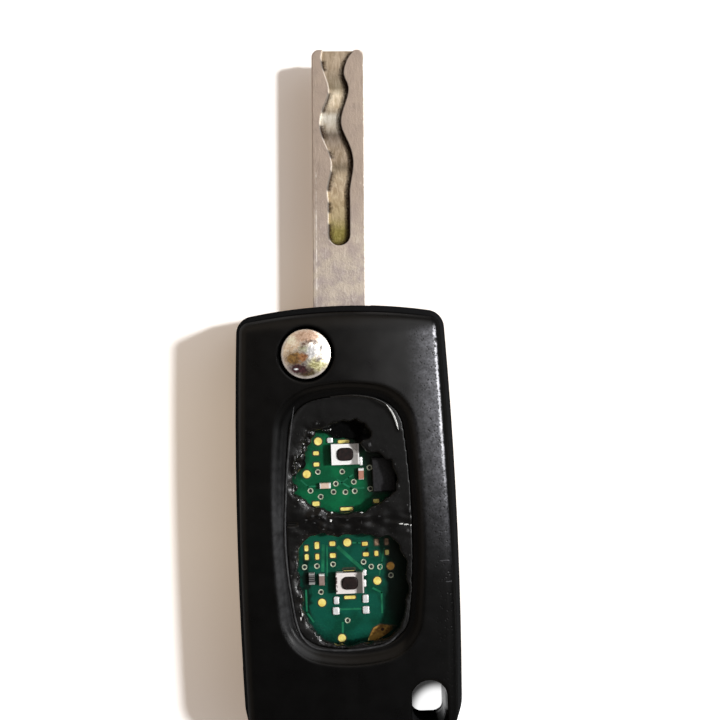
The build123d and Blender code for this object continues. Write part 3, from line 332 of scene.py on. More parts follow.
def blade_steel():
    """Milled steel gone dull: warm grey flats, painted highlights along the left edge and on edges facing right,
    painted shadow along the track's right wall, grime in patches, olive at its end.
    """
    material, tree, shader, mm = new_material("milled_blade_steel")
    lean = math.radians(OPEN_LEAN)
    middle = (PIVOT[0] + 5.08 * math.cos(lean), PIVOT[1] - 5.08 * math.sin(lean), 0)
    moved = add(tree, "Mapping", {"Vector": mm, "Location": [-c for c in middle]}).outputs["Vector"]
    place = add(tree, "Mapping", {"Vector": moved, "Rotation": (0, 0, lean)}).outputs["Vector"]
    drift = add(tree, "TexNoise", {"Vector": place, "Scale": 0.45, "Detail": 5.0, "Roughness": 0.6}).outputs["Fac"]
    fine = add(tree, "TexNoise", {"Vector": place, "Scale": 3.0, "Detail": 4.0, "Roughness": 0.7}).outputs["Fac"]
    long_place = add(tree, "Mapping", {"Vector": place, "Scale": (1.0, 0.3, 1.0)}).outputs["Vector"]
    streaks = add(tree, "TexNoise", {"Vector": long_place, "Scale": 1.5, "Detail": 5.0, "Roughness": 0.6,
                                     "Distortion": 0.8}).outputs["Fac"]
    parts = add(tree, "SeparateXYZ", {0: place})
    x, y, z = parts.outputs[0], parts.outputs[1], parts.outputs[2]
    # Flats: one warm grey towards the tip, in faint lilac and beige patches near the case
    near_case = add(tree, "MapRange", {0: y, 1: 27.0, 2: 14.0}).outputs[0]
    soft = add(tree, "TexNoise", {"Vector": place, "Scale": 0.4, "Detail": 4.0, "Roughness": 0.65}).outputs["Fac"]
    flat = add(tree, "Mix", {0: drift, 6: "#8e8078", 7: "#a99a8a"}, data_type="RGBA").outputs[2]
    patchy = add(tree, "Mix", {0: add(tree, "MapRange", {0: soft, 1: 0.4, 2: 0.6}).outputs[0], 6: "#a19590", 7: "#b8ac9e"}, data_type="RGBA").outputs[2]
    flat = add(tree, "Mix", {0: near_case, 6: flat, 7: patchy}, data_type="RGBA").outputs[2]
    scuff = add(tree, "MapRange", {0: streaks, 1: 0.58, 2: 0.7, 4: 0.5}).outputs[0]
    scuff = add(tree, "Math", {0: scuff, 1: near_case}, operation="MULTIPLY").outputs[0]
    flat = add(tree, "Mix", {0: scuff, 6: flat, 7: "#d2c9be"}, data_type="RGBA").outputs[2]
    fleck = add(tree, "MapRange", {0: fine, 1: 0.68, 2: 0.74, 4: 0.7}).outputs[0]
    flat = add(tree, "Mix", {0: fleck, 6: flat, 7: "#e6dfd6"}, data_type="RGBA").outputs[2]
    # A painted highlight line along the left chamfer, broken in places
    left_edge_highlight = box_mask(tree, place, (-3.78, 5.0, None), (-3.7, 30.0, None), 0.1)
    broken = add(tree, "MapRange", {0: drift, 1: 0.42, 2: 0.58, 3: 0.0, 4: 0.5}).outputs[0]
    left_edge_highlight = add(tree, "Math", {0: left_edge_highlight, 1: broken}, operation="MULTIPLY").outputs[0]
    flat = add(tree, "Mix", {0: left_edge_highlight, 6: flat, 7: "#efe9e2"}, data_type="RGBA").outputs[2]
    nicks = add(tree, "Math", {0: fine, 1: 0.9, 2: x}, operation="MULTIPLY_ADD").outputs[0]
    nicks = add(tree, "MapRange", {0: nicks, 1: 4.5, 2: 4.68, 4: 0.85}).outputs[0]
    flat = add(tree, "Mix", {0: nicks, 6: flat, 7: "#f6f1ea"}, data_type="RGBA").outputs[2]
    # The track: its floor changes tone along the blade, and ends in olive grime
    way = add(tree, "MapRange", {0: y, 1: 50.2, 2: 18.0}).outputs[0]
    tones = add(tree, "ValToRGB", {0: way}, stops=TRACK_TONES).outputs[0]
    scour = add(tree, "MapRange", {0: streaks, 1: 0.38, 2: 0.62}).outputs[0]
    scour = add(tree, "Mix", {0: scour, 6: "#d6d0c6", 7: "#ffffff"}, data_type="RGBA").outputs[2]
    floor = add(tree, "Mix", {0: 1.0, 6: tones, 7: scour}, data_type="RGBA", blend_type="MULTIPLY").outputs[2]
    end = add(tree, "MapRange", {0: y, 1: 22.8, 2: 18.6}).outputs[0]
    blotch = add(tree, "MapRange", {0: fine, 1: 0.44, 2: 0.56}).outputs[0]
    grime = add(tree, "Math", {0: end, 1: blotch}, operation="MULTIPLY").outputs[0]
    floor = add(tree, "Mix", {0: grime, 6: floor, 7: "#605a22"}, data_type="RGBA").outputs[2]
    # The floor carries painted shadow against the right wall and is darker in the corner at the track's end; grime lies
    # in patches against the left wall
    ragged = add(tree, "Math", {0: fine, 1: 0.6, 2: -0.3}, operation="MULTIPLY_ADD").outputs[0]
    occlusion = []
    for direction in ((0.8, 0.06, 0.6), (-0.8, 0.06, 0.6), (0.0, -0.8, 0.6)):
        turned_to = add(tree, "VectorTransform", {0: direction}, vector_type="NORMAL",
                        convert_from="OBJECT", convert_to="WORLD").outputs[0]
        shade = add(tree, "AmbientOcclusion", {"Distance": 0.0016, "Normal": turned_to}, samples=12).outputs["AO"]
        occlusion.append(add(tree, "Math", {0: shade, 1: ragged}, operation="ADD").outputs[0])
    grime_and_shade = add(tree, "MapRange", {0: occlusion[0], 1: 0.6, 2: 0.52}).outputs[0]
    patches = None
    for low, high in LEFT_GRIME:
        patch = box_mask(tree, place, (None, low, None), (None, high, None), 0.4)
        patches = patch if patches is None else add(tree, "Math", {0: patches, 1: patch}, operation="MAXIMUM").outputs[0]
    left_dirt = add(tree, "MapRange", {0: occlusion[1], 1: 0.56, 2: 0.48}).outputs[0]
    left_dirt = add(tree, "Math", {0: left_dirt, 1: patches}, operation="MULTIPLY").outputs[0]
    grime_and_shade = add(tree, "Math", {0: grime_and_shade, 1: left_dirt}, operation="MAXIMUM").outputs[0]
    end_darkening = add(tree, "MapRange", {0: occlusion[2], 1: 0.5, 2: 0.4}).outputs[0]
    at_end = add(tree, "MapRange", {0: y, 1: 21.2, 2: 20.4}).outputs[0]
    end_darkening = add(tree, "Math", {0: end_darkening, 1: at_end}, operation="MULTIPLY").outputs[0]
    grime_and_shade = add(tree, "Math", {0: grime_and_shade, 1: end_darkening}, operation="MAXIMUM").outputs[0]
    floor = add(tree, "Mix", {0: grime_and_shade, 6: floor, 7: "#2a1a0f"}, data_type="RGBA").outputs[2]
    in_track = box_mask(tree, place, (-3.6, 17.0, 4.4), (3.6, 60.0, 6.45), 0.02)
    colour = add(tree, "Mix", {0: in_track, 6: flat, 7: floor}, data_type="RGBA").outputs[2]
    # Edges: a painted highlight where they face right, painted shade along the track's right side, and grime darkening
    # the left wall in patches
    edge = add(tree, "Bevel", {"Radius": 0.00028}, samples=6).outputs[0]
    edge = add(tree, "VectorTransform", {0: edge}, vector_type="NORMAL", convert_from="WORLD",
               convert_to="OBJECT").outputs[0]
    turned = add(tree, "SeparateXYZ", {0: edge}).outputs[0]
    bright = add(tree, "MapRange", {0: turned, 1: 0.12, 2: 0.42, 4: 0.75}).outputs[0]
    plane = add(tree, "VectorTransform", {0: add(tree, "NewGeometry").outputs["True Normal"]}, vector_type="NORMAL",
                convert_from="WORLD", convert_to="OBJECT").outputs[0]
    off_wall = add(tree, "MapRange", {0: add(tree, "SeparateXYZ", {0: plane}).outputs[2], 1: 0.3, 2: 0.5, 3: 0.35}).outputs[0]
    bright = add(tree, "Math", {0: bright, 1: off_wall}, operation="MULTIPLY").outputs[0]
    colour = add(tree, "Mix", {0: bright, 6: colour, 7: "#f1e9de"}, data_type="RGBA").outputs[2]
    left_wall = add(tree, "Math", {0: bright, 1: patches}, operation="MULTIPLY").outputs[0]
    inner = box_mask(tree, place, (-3.2, 17.0, None), (3.4, 60.0, None), 0.02)
    left_wall = add(tree, "Math", {0: left_wall, 1: inner}, operation="MULTIPLY").outputs[0]
    dull = add(tree, "MapRange", {0: turned, 1: -0.12, 2: -0.4, 4: 0.9}).outputs[0]
    dull = add(tree, "Math", {0: dull, 1: inner}, operation="MULTIPLY").outputs[0]
    dull = add(tree, "Math", {0: dull, 1: left_wall}, operation="MAXIMUM").outputs[0]
    colour = add(tree, "Mix", {0: dull, 6: colour, 7: "#24160d"}, data_type="RGBA").outputs[2]
    tree.links.new(colour, shader.inputs["Base Color"])
    darkened_amount = add(tree, "Math", {0: grime_and_shade, 1: in_track}, operation="MULTIPLY").outputs[0]
    darkened_amount = add(tree, "Math", {0: darkened_amount, 1: dull}, operation="MAXIMUM").outputs[0]
    tree.links.new(add(tree, "MapRange", {0: darkened_amount, 3: 0.75, 4: 0.0}).outputs[0], shader.inputs["Metallic"])
    tree.links.new(add(tree, "MapRange", {0: darkened_amount, 3: 0.5, 4: 0.06}).outputs[0], shader.inputs["Specular IOR Level"])
    rough = add(tree, "MapRange", {0: drift, 1: 0.3, 2: 0.7, 3: 0.42, 4: 0.55}).outputs[0]
    tree.links.new(rough, shader.inputs["Roughness"])
    height = add(tree, "Math", {0: streaks, 1: 0.8, 2: fine}, operation="MULTIPLY_ADD").outputs[0]
    bump = add(tree, "Bump", {"Strength": 0.3, "Distance": 0.00012, "Height": height})
    tree.links.new(bump.outputs[0], shader.inputs["Normal"])
    return material


# Stains and painted reflections on the chromed dome: place and half sizes from its middle, two tones, and how far they
# hide the mirror
DOME_STAINS_AND_REFLECTIONS = [((-2.5, 1.2), (1.5, 2.0), "#dcc4a8", "#f5e8d4", 0.35), ((0.3, 2.8), (2.1, 0.95), "#a88972", "#cdb09a", 0.5),
               ((-2.3, 2.3), (0.8, 0.6), "#e6dec0", "#faf6e6", 0.5), ((0.9, 0.25), (1.0, 1.1), "#a5a2a0", "#dad7d4", 0.8),
               ((-0.3, 0.95), (0.75, 0.5), "#87866a", "#b9b799", 0.85), ((-1.7, -0.6), (1.6, 1.1), "#5f4528", "#94713f", 0.9),
               ((-0.35, -0.45), (0.75, 0.65), "#7b4e31", "#a8774f", 0.75), ((1.7, -1.75), (1.45, 1.0), "#8a8250", "#dcd7a8", 0.8),
               ((0.2, -2.95), (1.5, 0.7), "#2a2214", "#5d4f35", 0.92), ((-1.1, -2.25), (1.8, 0.85), "#241416", "#4a2a2e", 0.95)]


def chrome_tarnish_and_painted_reflections():
    """Chromed steel, dented and part worn: pinkish bare patches, brown and purple patches low on the left that are
    partly tarnish and partly painted reflection, a small painted highlight, and a painted grey reflection low on the
    left of the rim.
    """
    material, tree, shader, mm = new_material("chrome_tarnish_and_painted_reflections")
    centred = add(tree, "Mapping", {"Vector": mm, "Location": (-PIVOT[0], -PIVOT[1], -15.8)}).outputs["Vector"]
    swirl = add(tree, "TexNoise", {"Vector": centred, "Scale": 1.5, "Detail": 4.0, "Roughness": 0.65}).outputs["Color"]
    away = add(tree, "VectorMath", {0: swirl, 1: (0.5, 0.5, 0.5)}, operation="SUBTRACT").outputs[0]
    away = add(tree, "VectorMath", {0: away, "Scale": 1.6}, operation="SCALE").outputs[0]
    place = add(tree, "VectorMath", {0: centred, 1: away}, operation="ADD").outputs[0]
    fine = add(tree, "TexNoise", {"Vector": centred, "Scale": 2.4, "Detail": 4.0, "Roughness": 0.7}).outputs["Fac"]
    speckle = add(tree, "MapRange", {0: fine, 1: 0.42, 2: 0.58}).outputs[0]
    colour = add(tree, "Mix", {0: speckle, 6: "#efe3d3", 7: "#f8f1e8"}, data_type="RGBA").outputs[2]
    hidden = add(tree, "MapRange", {0: fine, 1: 0.3, 2: 0.7, 3: 0.0, 4: 0.1}).outputs[0]
    for centre, size, dark_tone, pale_tone, cover in DOME_STAINS_AND_REFLECTIONS:
        tinted_patch = blot(tree, place, centre, size, 0.35)
        tone = add(tree, "Mix", {0: speckle, 6: dark_tone, 7: pale_tone}, data_type="RGBA").outputs[2]
        colour = add(tree, "Mix", {0: tinted_patch, 6: colour, 7: tone}, data_type="RGBA").outputs[2]
        tinted_patch = add(tree, "Math", {0: tinted_patch, 1: cover}, operation="MULTIPLY").outputs[0]
        hidden = add(tree, "Math", {0: hidden, 1: tinted_patch}, operation="MAXIMUM").outputs[0]
    # A dark line curls over the top and right of the patches
    outer = blot(tree, place, (0.9, 0.35), (1.95, 1.9), 0.08)
    inner = blot(tree, place, (0.8, 0.25), (1.4, 1.4), 0.12)
    dark_arc = add(tree, "Math", {0: outer, 1: inner}, operation="SUBTRACT", use_clamp=True).outputs[0]
    parts = add(tree, "SeparateXYZ", {0: place})
    upper_right = add(tree, "Math", {0: parts.outputs[0], 1: parts.outputs[1]}, operation="ADD").outputs[0]
    upper_right = add(tree, "MapRange", {0: upper_right, 1: -0.2, 2: 0.6}).outputs[0]
    dark_arc = add(tree, "Math", {0: dark_arc, 1: upper_right}, operation="MULTIPLY").outputs[0]
    broken = add(tree, "MapRange", {0: fine, 1: 0.4, 2: 0.54, 3: 0.35, 4: 1.0}).outputs[0]
    dark_arc = add(tree, "Math", {0: dark_arc, 1: broken}, operation="MULTIPLY").outputs[0]
    rightward = add(tree, "MapRange", {0: parts.outputs[0], 1: 1.2, 2: 2.2}).outputs[0]
    dark_arc_tone = add(tree, "Mix", {0: rightward, 6: "#583c2e", 7: "#77706c"}, data_type="RGBA").outputs[2]
    colour = add(tree, "Mix", {0: dark_arc, 6: colour, 7: dark_arc_tone}, data_type="RGBA").outputs[2]
    # A small painted highlight low on the left
    white = blot(tree, centred, (-1.55, -2.3), (0.3, 0.13))
    colour = add(tree, "Mix", {0: white, 6: colour, 7: "#ffffff"}, data_type="RGBA").outputs[2]
    # Towards its edge the dome has a painted grey reflection low on the left, and painted shade in black all round
    # where it meets its hole
    flat_place = add(tree, "VectorMath", {0: centred, 1: (1, 1, 0)}, operation="MULTIPLY").outputs[0]
    reach = add(tree, "VectorMath", {0: flat_place}, operation="LENGTH").outputs["Value"]
    rim = add(tree, "MapRange", {0: reach, 1: 3.35, 2: 3.6, 4: 0.6}).outputs[0]
    down_left = add(tree, "MapRange", {0: upper_right, 1: 0.8, 2: 0.2}).outputs[0]
    rim = add(tree, "Math", {0: rim, 1: down_left}, operation="MULTIPLY").outputs[0]
    colour = add(tree, "Mix", {0: rim, 6: colour, 7: "#b5aeab"}, data_type="RGBA").outputs[2]
    black = add(tree, "MapRange", {0: reach, 1: 3.76, 2: 3.86}).outputs[0]
    colour = add(tree, "Mix", {0: black, 6: colour, 7: "#070707"}, data_type="RGBA").outputs[2]
    tree.links.new(colour, shader.inputs["Base Color"])
    for mask in (dark_arc, white, rim, black):
        hidden = add(tree, "Math", {0: hidden, 1: mask}, operation="MAXIMUM").outputs[0]
    tree.links.new(add(tree, "MapRange", {0: hidden, 3: 0.92, 4: 0.0}).outputs[0], shader.inputs["Metallic"])
    tree.links.new(add(tree, "MapRange", {0: hidden, 3: 0.17, 4: 0.42}).outputs[0], shader.inputs["Roughness"])
    tree.links.new(add(tree, "MapRange", {0: black, 3: 0.5, 4: 0.0}).outputs[0], shader.inputs["Specular IOR Level"])
    dent = add(tree, "TexNoise", {"Vector": centred, "Scale": 0.6, "Detail": 3.0}).outputs["Fac"]
    strength = add(tree, "MapRange", {0: reach, 1: 3.0, 2: 3.7, 3: 0.45, 4: 0.1}).outputs[0]
    bump = add(tree, "Bump", {"Strength": strength, "Distance": 0.0005, "Height": dent})
    tree.links.new(bump.outputs[0], shader.inputs["Normal"])
    return material


def switch_sheet():
    """Tinned sheet: white and matt where it lies level, more of a mirror towards the bent right side, where its grey is
    a painted reflection and its very edge a painted highlight.
    """
    material, tree, shader, mm = new_material("tinned_switch_sheet", Roughness=0.32)
    parts = add(tree, "SeparateXYZ", {0: mm})
    ragged = add(tree, "TexNoise", {"Vector": mm, "Scale": 1.6, "Detail": 4.0, "Roughness": 0.7}).outputs["Fac"]
    # Painted reflection: grey towards the bent right side, kept white along the very edge as a painted highlight
    shifted = add(tree, "Math", {0: ragged, 1: 1.6, 2: parts.outputs[0]}, operation="MULTIPLY_ADD").outputs[0]
    grey = add(tree, "MapRange", {0: shifted, 1: 1.75, 2: 2.1}).outputs[0]
    lit_edge = add(tree, "MapRange", {0: parts.outputs[0], 1: 2.15, 2: 2.3}).outputs[0]
    grey = add(tree, "Math", {0: grey, 1: lit_edge}, operation="SUBTRACT", use_clamp=True).outputs[0]
    lower = add(tree, "MapRange", {0: parts.outputs[1], 1: 0.5, 2: -0.5}).outputs[0]
    grey_tone = add(tree, "Mix", {0: lower, 6: "#b9b7b4", 7: "#75716d"}, data_type="RGBA").outputs[2]
    white = add(tree, "Mix", {0: lower, 6: "#f2f0ee", 7: "#e3dbd8"}, data_type="RGBA").outputs[2]
    colour = add(tree, "Mix", {0: grey, 6: white, 7: grey_tone}, data_type="RGBA").outputs[2]
    # The lower sheet's left edge has lost its tin
    bare = box_mask(tree, mm, (-3.0, -9.5, None), (-1.85, -5.5, None), 0.12)
    holes = add(tree, "MapRange", {0: ragged, 1: 0.46, 2: 0.52}).outputs[0]
    bare = add(tree, "Math", {0: bare, 1: holes}, operation="MULTIPLY").outputs[0]
    colour = add(tree, "Mix", {0: bare, 6: colour, 7: "#3a2824"}, data_type="RGBA").outputs[2]
    tree.links.new(colour, shader.inputs["Base Color"])
    tree.links.new(add(tree, "MapRange", {0: grey, 3: 0.12, 4: 0.7}).outputs[0], shader.inputs["Metallic"])
    bump = add(tree, "Bump", {"Strength": 0.5, "Distance": 0.00008, "Height": ragged})
    tree.links.new(bump.outputs[0], shader.inputs["Normal"])
    return material


def chip_capacitor():
    """Capacitors: pinkish-brown ceramic between tinned ends."""
    material, tree, shader, mm = new_material("ceramic_between_tinned_ends", Roughness=0.38)
    cloud = add(tree, "TexNoise", {"Vector": mm, "Scale": 2.0, "Detail": 2.0}).outputs["Fac"]
    beige = box_mask(tree, mm, (-3.85, 6.0, None), (-2.65, 8.6, None), 0.1)
    red = box_mask(tree, mm, (1.9, 8.25, None), (3.4, 9.5, None), 0.1)
    brown = box_mask(tree, mm, (-5.0, -8.6, None), (-3.6, -7.1, None), 0.1)
    colour = add(tree, "Mix", {0: beige, 6: add(tree, "Mix", {0: cloud, 6: "#dedddb", 7: "#f4f4f2"}, data_type="RGBA").outputs[2], 7: add(tree, "Mix", {0: cloud, 6: "#bfa592", 7: "#d2baa8"}, data_type="RGBA").outputs[2]}, data_type="RGBA").outputs[2]
    colour = add(tree, "Mix", {0: red, 6: colour, 7: add(tree, "Mix", {0: cloud, 6: "#94604f", 7: "#b07f6d"}, data_type="RGBA").outputs[2]}, data_type="RGBA").outputs[2]
    colour = add(tree, "Mix", {0: brown, 6: colour, 7: add(tree, "Mix", {0: cloud, 6: "#6d5850", 7: "#93807a"}, data_type="RGBA").outputs[2]}, data_type="RGBA").outputs[2]
    tree.links.new(colour, shader.inputs["Base Color"])
    body = add(tree, "Math", {0: beige, 1: red}, operation="MAXIMUM").outputs[0]
    body = add(tree, "Math", {0: body, 1: brown}, operation="MAXIMUM").outputs[0]
    tree.links.new(add(tree, "MapRange", {0: body, 3: 0.35, 4: 0.0}).outputs[0], shader.inputs["Metallic"])
    return material


def chip_resistor():
    """Resistors: black lacquer between tinned ends, with fine pale bands where the lacquer wore."""
    material, tree, shader, mm = new_material("lacquer_between_tinned_ends", Roughness=0.35)
    parts = add(tree, "SeparateXYZ", {0: mm})
    wave = add(tree, "Math", {0: parts.outputs[1], 1: 21.0}, operation="MULTIPLY").outputs[0]
    wave = add(tree, "Math", {0: wave}, operation="SINE").outputs[0]
    band = add(tree, "MapRange", {0: wave, 1: 0.1, 2: 0.7, 4: 0.8}).outputs[0]
    body = box_mask(tree, mm, (-7.0, -8.05, None), (-4.8, -6.95, None), 0.08)
    colour = add(tree, "Mix", {0: body, 6: "#9c9c9a", 7: add(tree, "Mix", {0: band, 6: "#1a1a1c", 7: "#7c7c7a"}, data_type="RGBA").outputs[2]}, data_type="RGBA").outputs[2]
    tree.links.new(colour, shader.inputs["Base Color"])
    tree.links.new(add(tree, "MapRange", {0: body, 3: 0.4, 4: 0.0}).outputs[0], shader.inputs["Metallic"])
    return material


def gold_land():
    """Immersion gold over nickel: pale yellow, with painted shade in brown at the right end of the first row and in
    orange on a half-shaded round land, and brown on the corner land.
    """
    material, tree, shader, mm = new_material("immersion_gold", Metallic=0.25, Roughness=0.38)
    drift = add(tree, "TexNoise", {"Vector": mm, "Scale": 1.1, "Detail": 3.0}).outputs["Fac"]
    spread = add(tree, "MapRange", {0: drift, 1: 0.35, 2: 0.65}).outputs[0]
    colour = add(tree, "Mix", {0: spread, 6: "#e3c75f", 7: "#fbef91"}, data_type="RGBA").outputs[2]
    # Painted shade: brown over the first row's right end, orange over the half-shaded round land
    shaded_row_end = box_mask(tree, mm, (4.0, -3.3, None), (7.2, -1.2, None), 0.1)
    colour = add(tree, "Mix", {0: shaded_row_end, 6: colour, 7: add(tree, "Mix", {0: spread, 6: "#6b513c", 7: "#a58a72"}, data_type="RGBA").outputs[2]}, data_type="RGBA").outputs[2]
    copper = box_mask(tree, mm, (5.9, -6.9, None), (7.7, -5.1, None), 0.1)
    colour = add(tree, "Mix", {0: copper, 6: colour, 7: add(tree, "Mix", {0: spread, 6: "#c98f3d", 7: "#e0b25c"}, data_type="RGBA").outputs[2]}, data_type="RGBA").outputs[2]
    corner = box_mask(tree, mm, (3.0, -18.5, None), (8.5, -13.6, None), 0.1)
    worn = add(tree, "MapRange", {0: drift, 1: 0.42, 2: 0.6}).outputs[0]
    colour = add(tree, "Mix", {0: corner, 6: colour, 7: add(tree, "Mix", {0: worn, 6: "#69491b", 7: "#a9813d"}, data_type="RGBA").outputs[2]}, data_type="RGBA").outputs[2]
    off = add(tree, "VectorMath", {0: mm, 1: (5.14, -16.1, 10.33)}, operation="DISTANCE").outputs["Value"]
    spot = add(tree, "MapRange", {0: off, 1: 0.34, 2: 0.22}).outputs[0]
    colour = add(tree, "Mix", {0: spot, 6: colour, 7: "#2c1408"}, data_type="RGBA").outputs[2]
    # Painted shade darkens the corner land's right part, and most of the land above the lower switch is darker too
    darkened_lands = box_mask(tree, mm, (6.9, -17.5, None), (9.0, -14.0, None), 0.9)
    above = box_mask(tree, mm, (-1.4, -6.45, None), (1.6, -5.4, None), 0.08)
    darkened_lands = add(tree, "Math", {0: darkened_lands, 1: above}, operation="MAXIMUM").outputs[0]
    colour = add(tree, "Mix", {0: darkened_lands, 6: colour, 7: "#12231a"}, data_type="RGBA").outputs[2]
    tree.links.new(colour, shader.inputs["Base Color"])
    bump = add(tree, "Bump", {"Strength": 0.25, "Distance": 0.00004, "Height": drift})
    tree.links.new(bump.outputs[0], shader.inputs["Normal"])
    return material


SHELL = black_shell()
RUBBER = torn_rubber()
BOARD = green_board()
GOLD = gold_land()
TIN = speckled("bright_tin_solder", "#dcdcdc", "#fbfbfb", 1.5, Metallic=0.3, Roughness=0.25)
RING_TIN = speckled("dull_tinned_ring", "#8a947c", "#cdd3bc", 2.2, Metallic=0.15, Roughness=0.4)
COPPER_UNDER_MASK = speckled("masked_copper_track", "#0b4c34", "#186b4a", 0.8, IOR=1.5, Roughness=0.3)
RIM_RUBBER = speckled("moulded_rubber_rim", "#080808", "#101010", 1.0, IOR=1.43, Roughness=0.24)
GREY_HIGHLIGHT_RUBBER = speckled("grey_rubber_painted_highlight", "#242425", "#3b3b3c", 1.2, IOR=1.43, Roughness=0.5, Specular_IOR_Level=0.2)
PALE_GLINT_RUBBER = speckled("pale_rubber_painted_glint", "#a9a9a7", "#e6e6e3", 2.0, IOR=1.43, Roughness=0.35)
CAPACITOR = chip_capacitor()
RESISTOR = chip_resistor()
LAND_GAP = speckled("bare_board_gap", "#16160a", "#2b2a12", 2.0, IOR=1.5, Roughness=0.6)
VIA_HOLE = speckled("open_via_hole", "#040604", "#0a0f0a", 2.0, IOR=1.45, Roughness=0.6)
CHIP = speckled("moulded_chip_epoxy", "#161618", "#232325", 2.5, IOR=1.55, Roughness=0.5, Specular_IOR_Level=0.15)
MOULDING = speckled("black_nylon_moulding", "#101011", "#19191a", 1.0, IOR=1.53, Roughness=0.5)
PLUNGER = speckled("black_acetal_plunger", "#0b0606", "#1d1211", 1.8, IOR=1.48, Roughness=0.42, Specular_IOR_Level=0.3)
SPRING = speckled("drawn_spring_steel", "#8f8f90", "#b4b4b6", 1.0, Metallic=1.0, Roughness=0.34)
NICKEL = speckled("nickel_plate", "#b9b4ac", "#d5d1ca", 0.6, Metallic=1.0, Roughness=0.3)
FERRITE = speckled("sintered_ferrite", "#26262a", "#35353a", 1.2, IOR=1.6, Roughness=0.55)
COPPER = speckled("enamelled_copper_wire", "#8a4a26", "#b4683a", 3.0, Metallic=1.0, Roughness=0.35)

dress("front_cover back_case", SHELL)
dress("circuit_board", BOARD)
dress("gold_lands", GOLD)
dress("solder_lumps", TIN)
dress("upper_switch_cover lower_switch_cover", switch_sheet())
dress("control_chip", CHIP)
dress("chip_capacitors", CAPACITOR)
dress("chip_resistors", RESISTOR)
dress("inner_frame upper_switch_base lower_switch_base flip_hub", MOULDING)
dress("upper_switch_plunger lower_switch_plunger", PLUNGER)
dress("hub_spring", SPRING)
dress("upper_switch_dome lower_switch_dome cell_contact cell_clip coin_cell crystal hub_roll_pin", NICKEL)
dress("aerial_core", FERRITE)
dress("aerial_winding", COPPER)
dress("key_blade", blade_steel())
dress("release_button", chrome_tarnish_and_painted_reflections())
dress("button_pad", RUBBER)


# Pieces

def keep_piece(bm, name, material, body, smooth=True):
    """Turns a bmesh into an object at the origin that rides on a body."""
    mesh = bpy.data.meshes.new(name)
    bm.to_mesh(mesh)
    bm.free()
    for m in material if isinstance(material, list) else [material]:
        mesh.materials.append(m)
    if smooth:
        mesh.shade_smooth()
    made = bpy.data.objects.new(name, mesh)
    bpy.context.scene.collection.objects.link(made)
    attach(made, body)
    return made


# Ragged edges of the two holes in the pad
UPPER_TEAR = [(-5.3, 16.2), (-3.6, 16.8), (-2.6, 15.8), (-1.2, 14.9), (1.8, 14.8), (2.9, 13.7), (3.9, 12.8),
              (5.9, 12.4), (7.2, 11.2), (8.0, 9.4), (8.2, 7.8), (8.1, 6.6), (5.6, 4.6), (2.6, 3.9),
              (-0.6, 3.9), (-3.0, 3.6), (-5.7, 4.6), (-7.9, 6.4), (-8.3, 9.0), (-7.4, 12.0)]
LOWER_TEAR = [(-6.3, -0.6), (-3.9, 0.1), (-1.4, -0.5), (1.6, -0.1), (5.2, -0.6), (7.0, -0.9), (8.3, -2.2),
              (9.1, -4.2), (9.2, -8.8), (8.7, -12.4), (7.4, -15.6), (4.9, -17.4), (2.0, -17.2), (-0.6, -17.9),
              (-4.1, -16.8), (-6.2, -14.0), (-7.5, -12.2), (-7.3, -9.6), (-7.9, -5.6), (-7.5, -2.4)]

# Moulded bead round the pad, an open line at its top end and one at its bottom end
TOP_BEAD = [(-9.1, 8.0), (-9.0, 12.0), (-8.6, 15.5), (-7.7, 18.5), (-5.7, 21.0), (-1.5, 21.8), (4.0, 21.5),
            (7.1, 19.7), (8.4, 17.6), (8.8, 16.2)]
BOTTOM_BEAD = [(9.1, -11.0), (8.1, -15.0), (7.2, -16.4), (5.5, -17.7), (3.6, -18.1), (1.3, -18.4),
               (-1.2, -18.4), (-3.7, -18.3)]

# Lumps of torn rubber: place, radius and flatness
TORN_LUMPS = [(-6.4, 3.7, 13.1, 0.75, 0.6), (-5.5, 3.0, 13.3, 0.8, 0.6), (-4.3, 3.1, 13.3, 0.7, 0.7),
              (-3.5, 2.7, 13.4, 0.6, 0.7), (-2.4, 2.5, 13.3, 0.6, 0.6), (-3.8, 1.2, 13.4, 0.7, 0.6),
              (-5.8, 1.1, 13.2, 0.9, 0.5), (-5.3, 0.3, 13.0, 0.7, 0.6), (9.6, 3.9, 13.3, 0.55, 0.6),
              (9.9, 5.4, 13.3, 0.35, 0.8), (9.7, 1.4, 13.4, 0.45, 0.6), (9.3, 0.5, 13.4, 0.5, 0.5),
              (-7.9, 9.8, 12.9, 0.5, 0.8), (-7.9, 7.4, 12.9, 0.6, 0.7), (-8.0, 12.6, 13.0, 0.5, 0.8),
              (-7.6, -12.6, 12.7, 0.6, 0.8), (-6.3, -15.2, 12.7, 0.6, 0.7), (-5.0, -16.6, 12.7, 0.6, 0.7),
              (-4.1, 17.6, 13.5, 0.4, 0.5), (-3.1, 20.6, 13.5, 0.3, 0.5), (-6.0, 16.6, 13.4, 0.4, 0.5),
              (-6.8, 13.6, 11.6, 1.0, 0.9), (-7.2, 12.2, 11.4, 1.1, 0.9), (-7.0, 11.0, 11.2, 0.9, 0.8),
              (-6.1, 14.8, 11.8, 1.0, 0.9), (-8.0, 10.4, 11.6, 0.9, 0.9), (-5.2, 16.0, 12.2, 0.9, 0.8)]


def line_distance(x, y, places, closed=True):
    """Distance from a point to a line of places."""
    best = 1e9
    ends = places[1:] + places[:1] if closed else places[1:]
    for (ax, ay), (bx, by) in zip(places, ends):
        dx, dy = bx - ax, by - ay
        t = max(0.0, min(1.0, ((x - ax) * dx + (y - ay) * dy) / (dx * dx + dy * dy)))
        best = min(best, math.hypot(x - ax - t * dx, y - ay - t * dy))
    return best


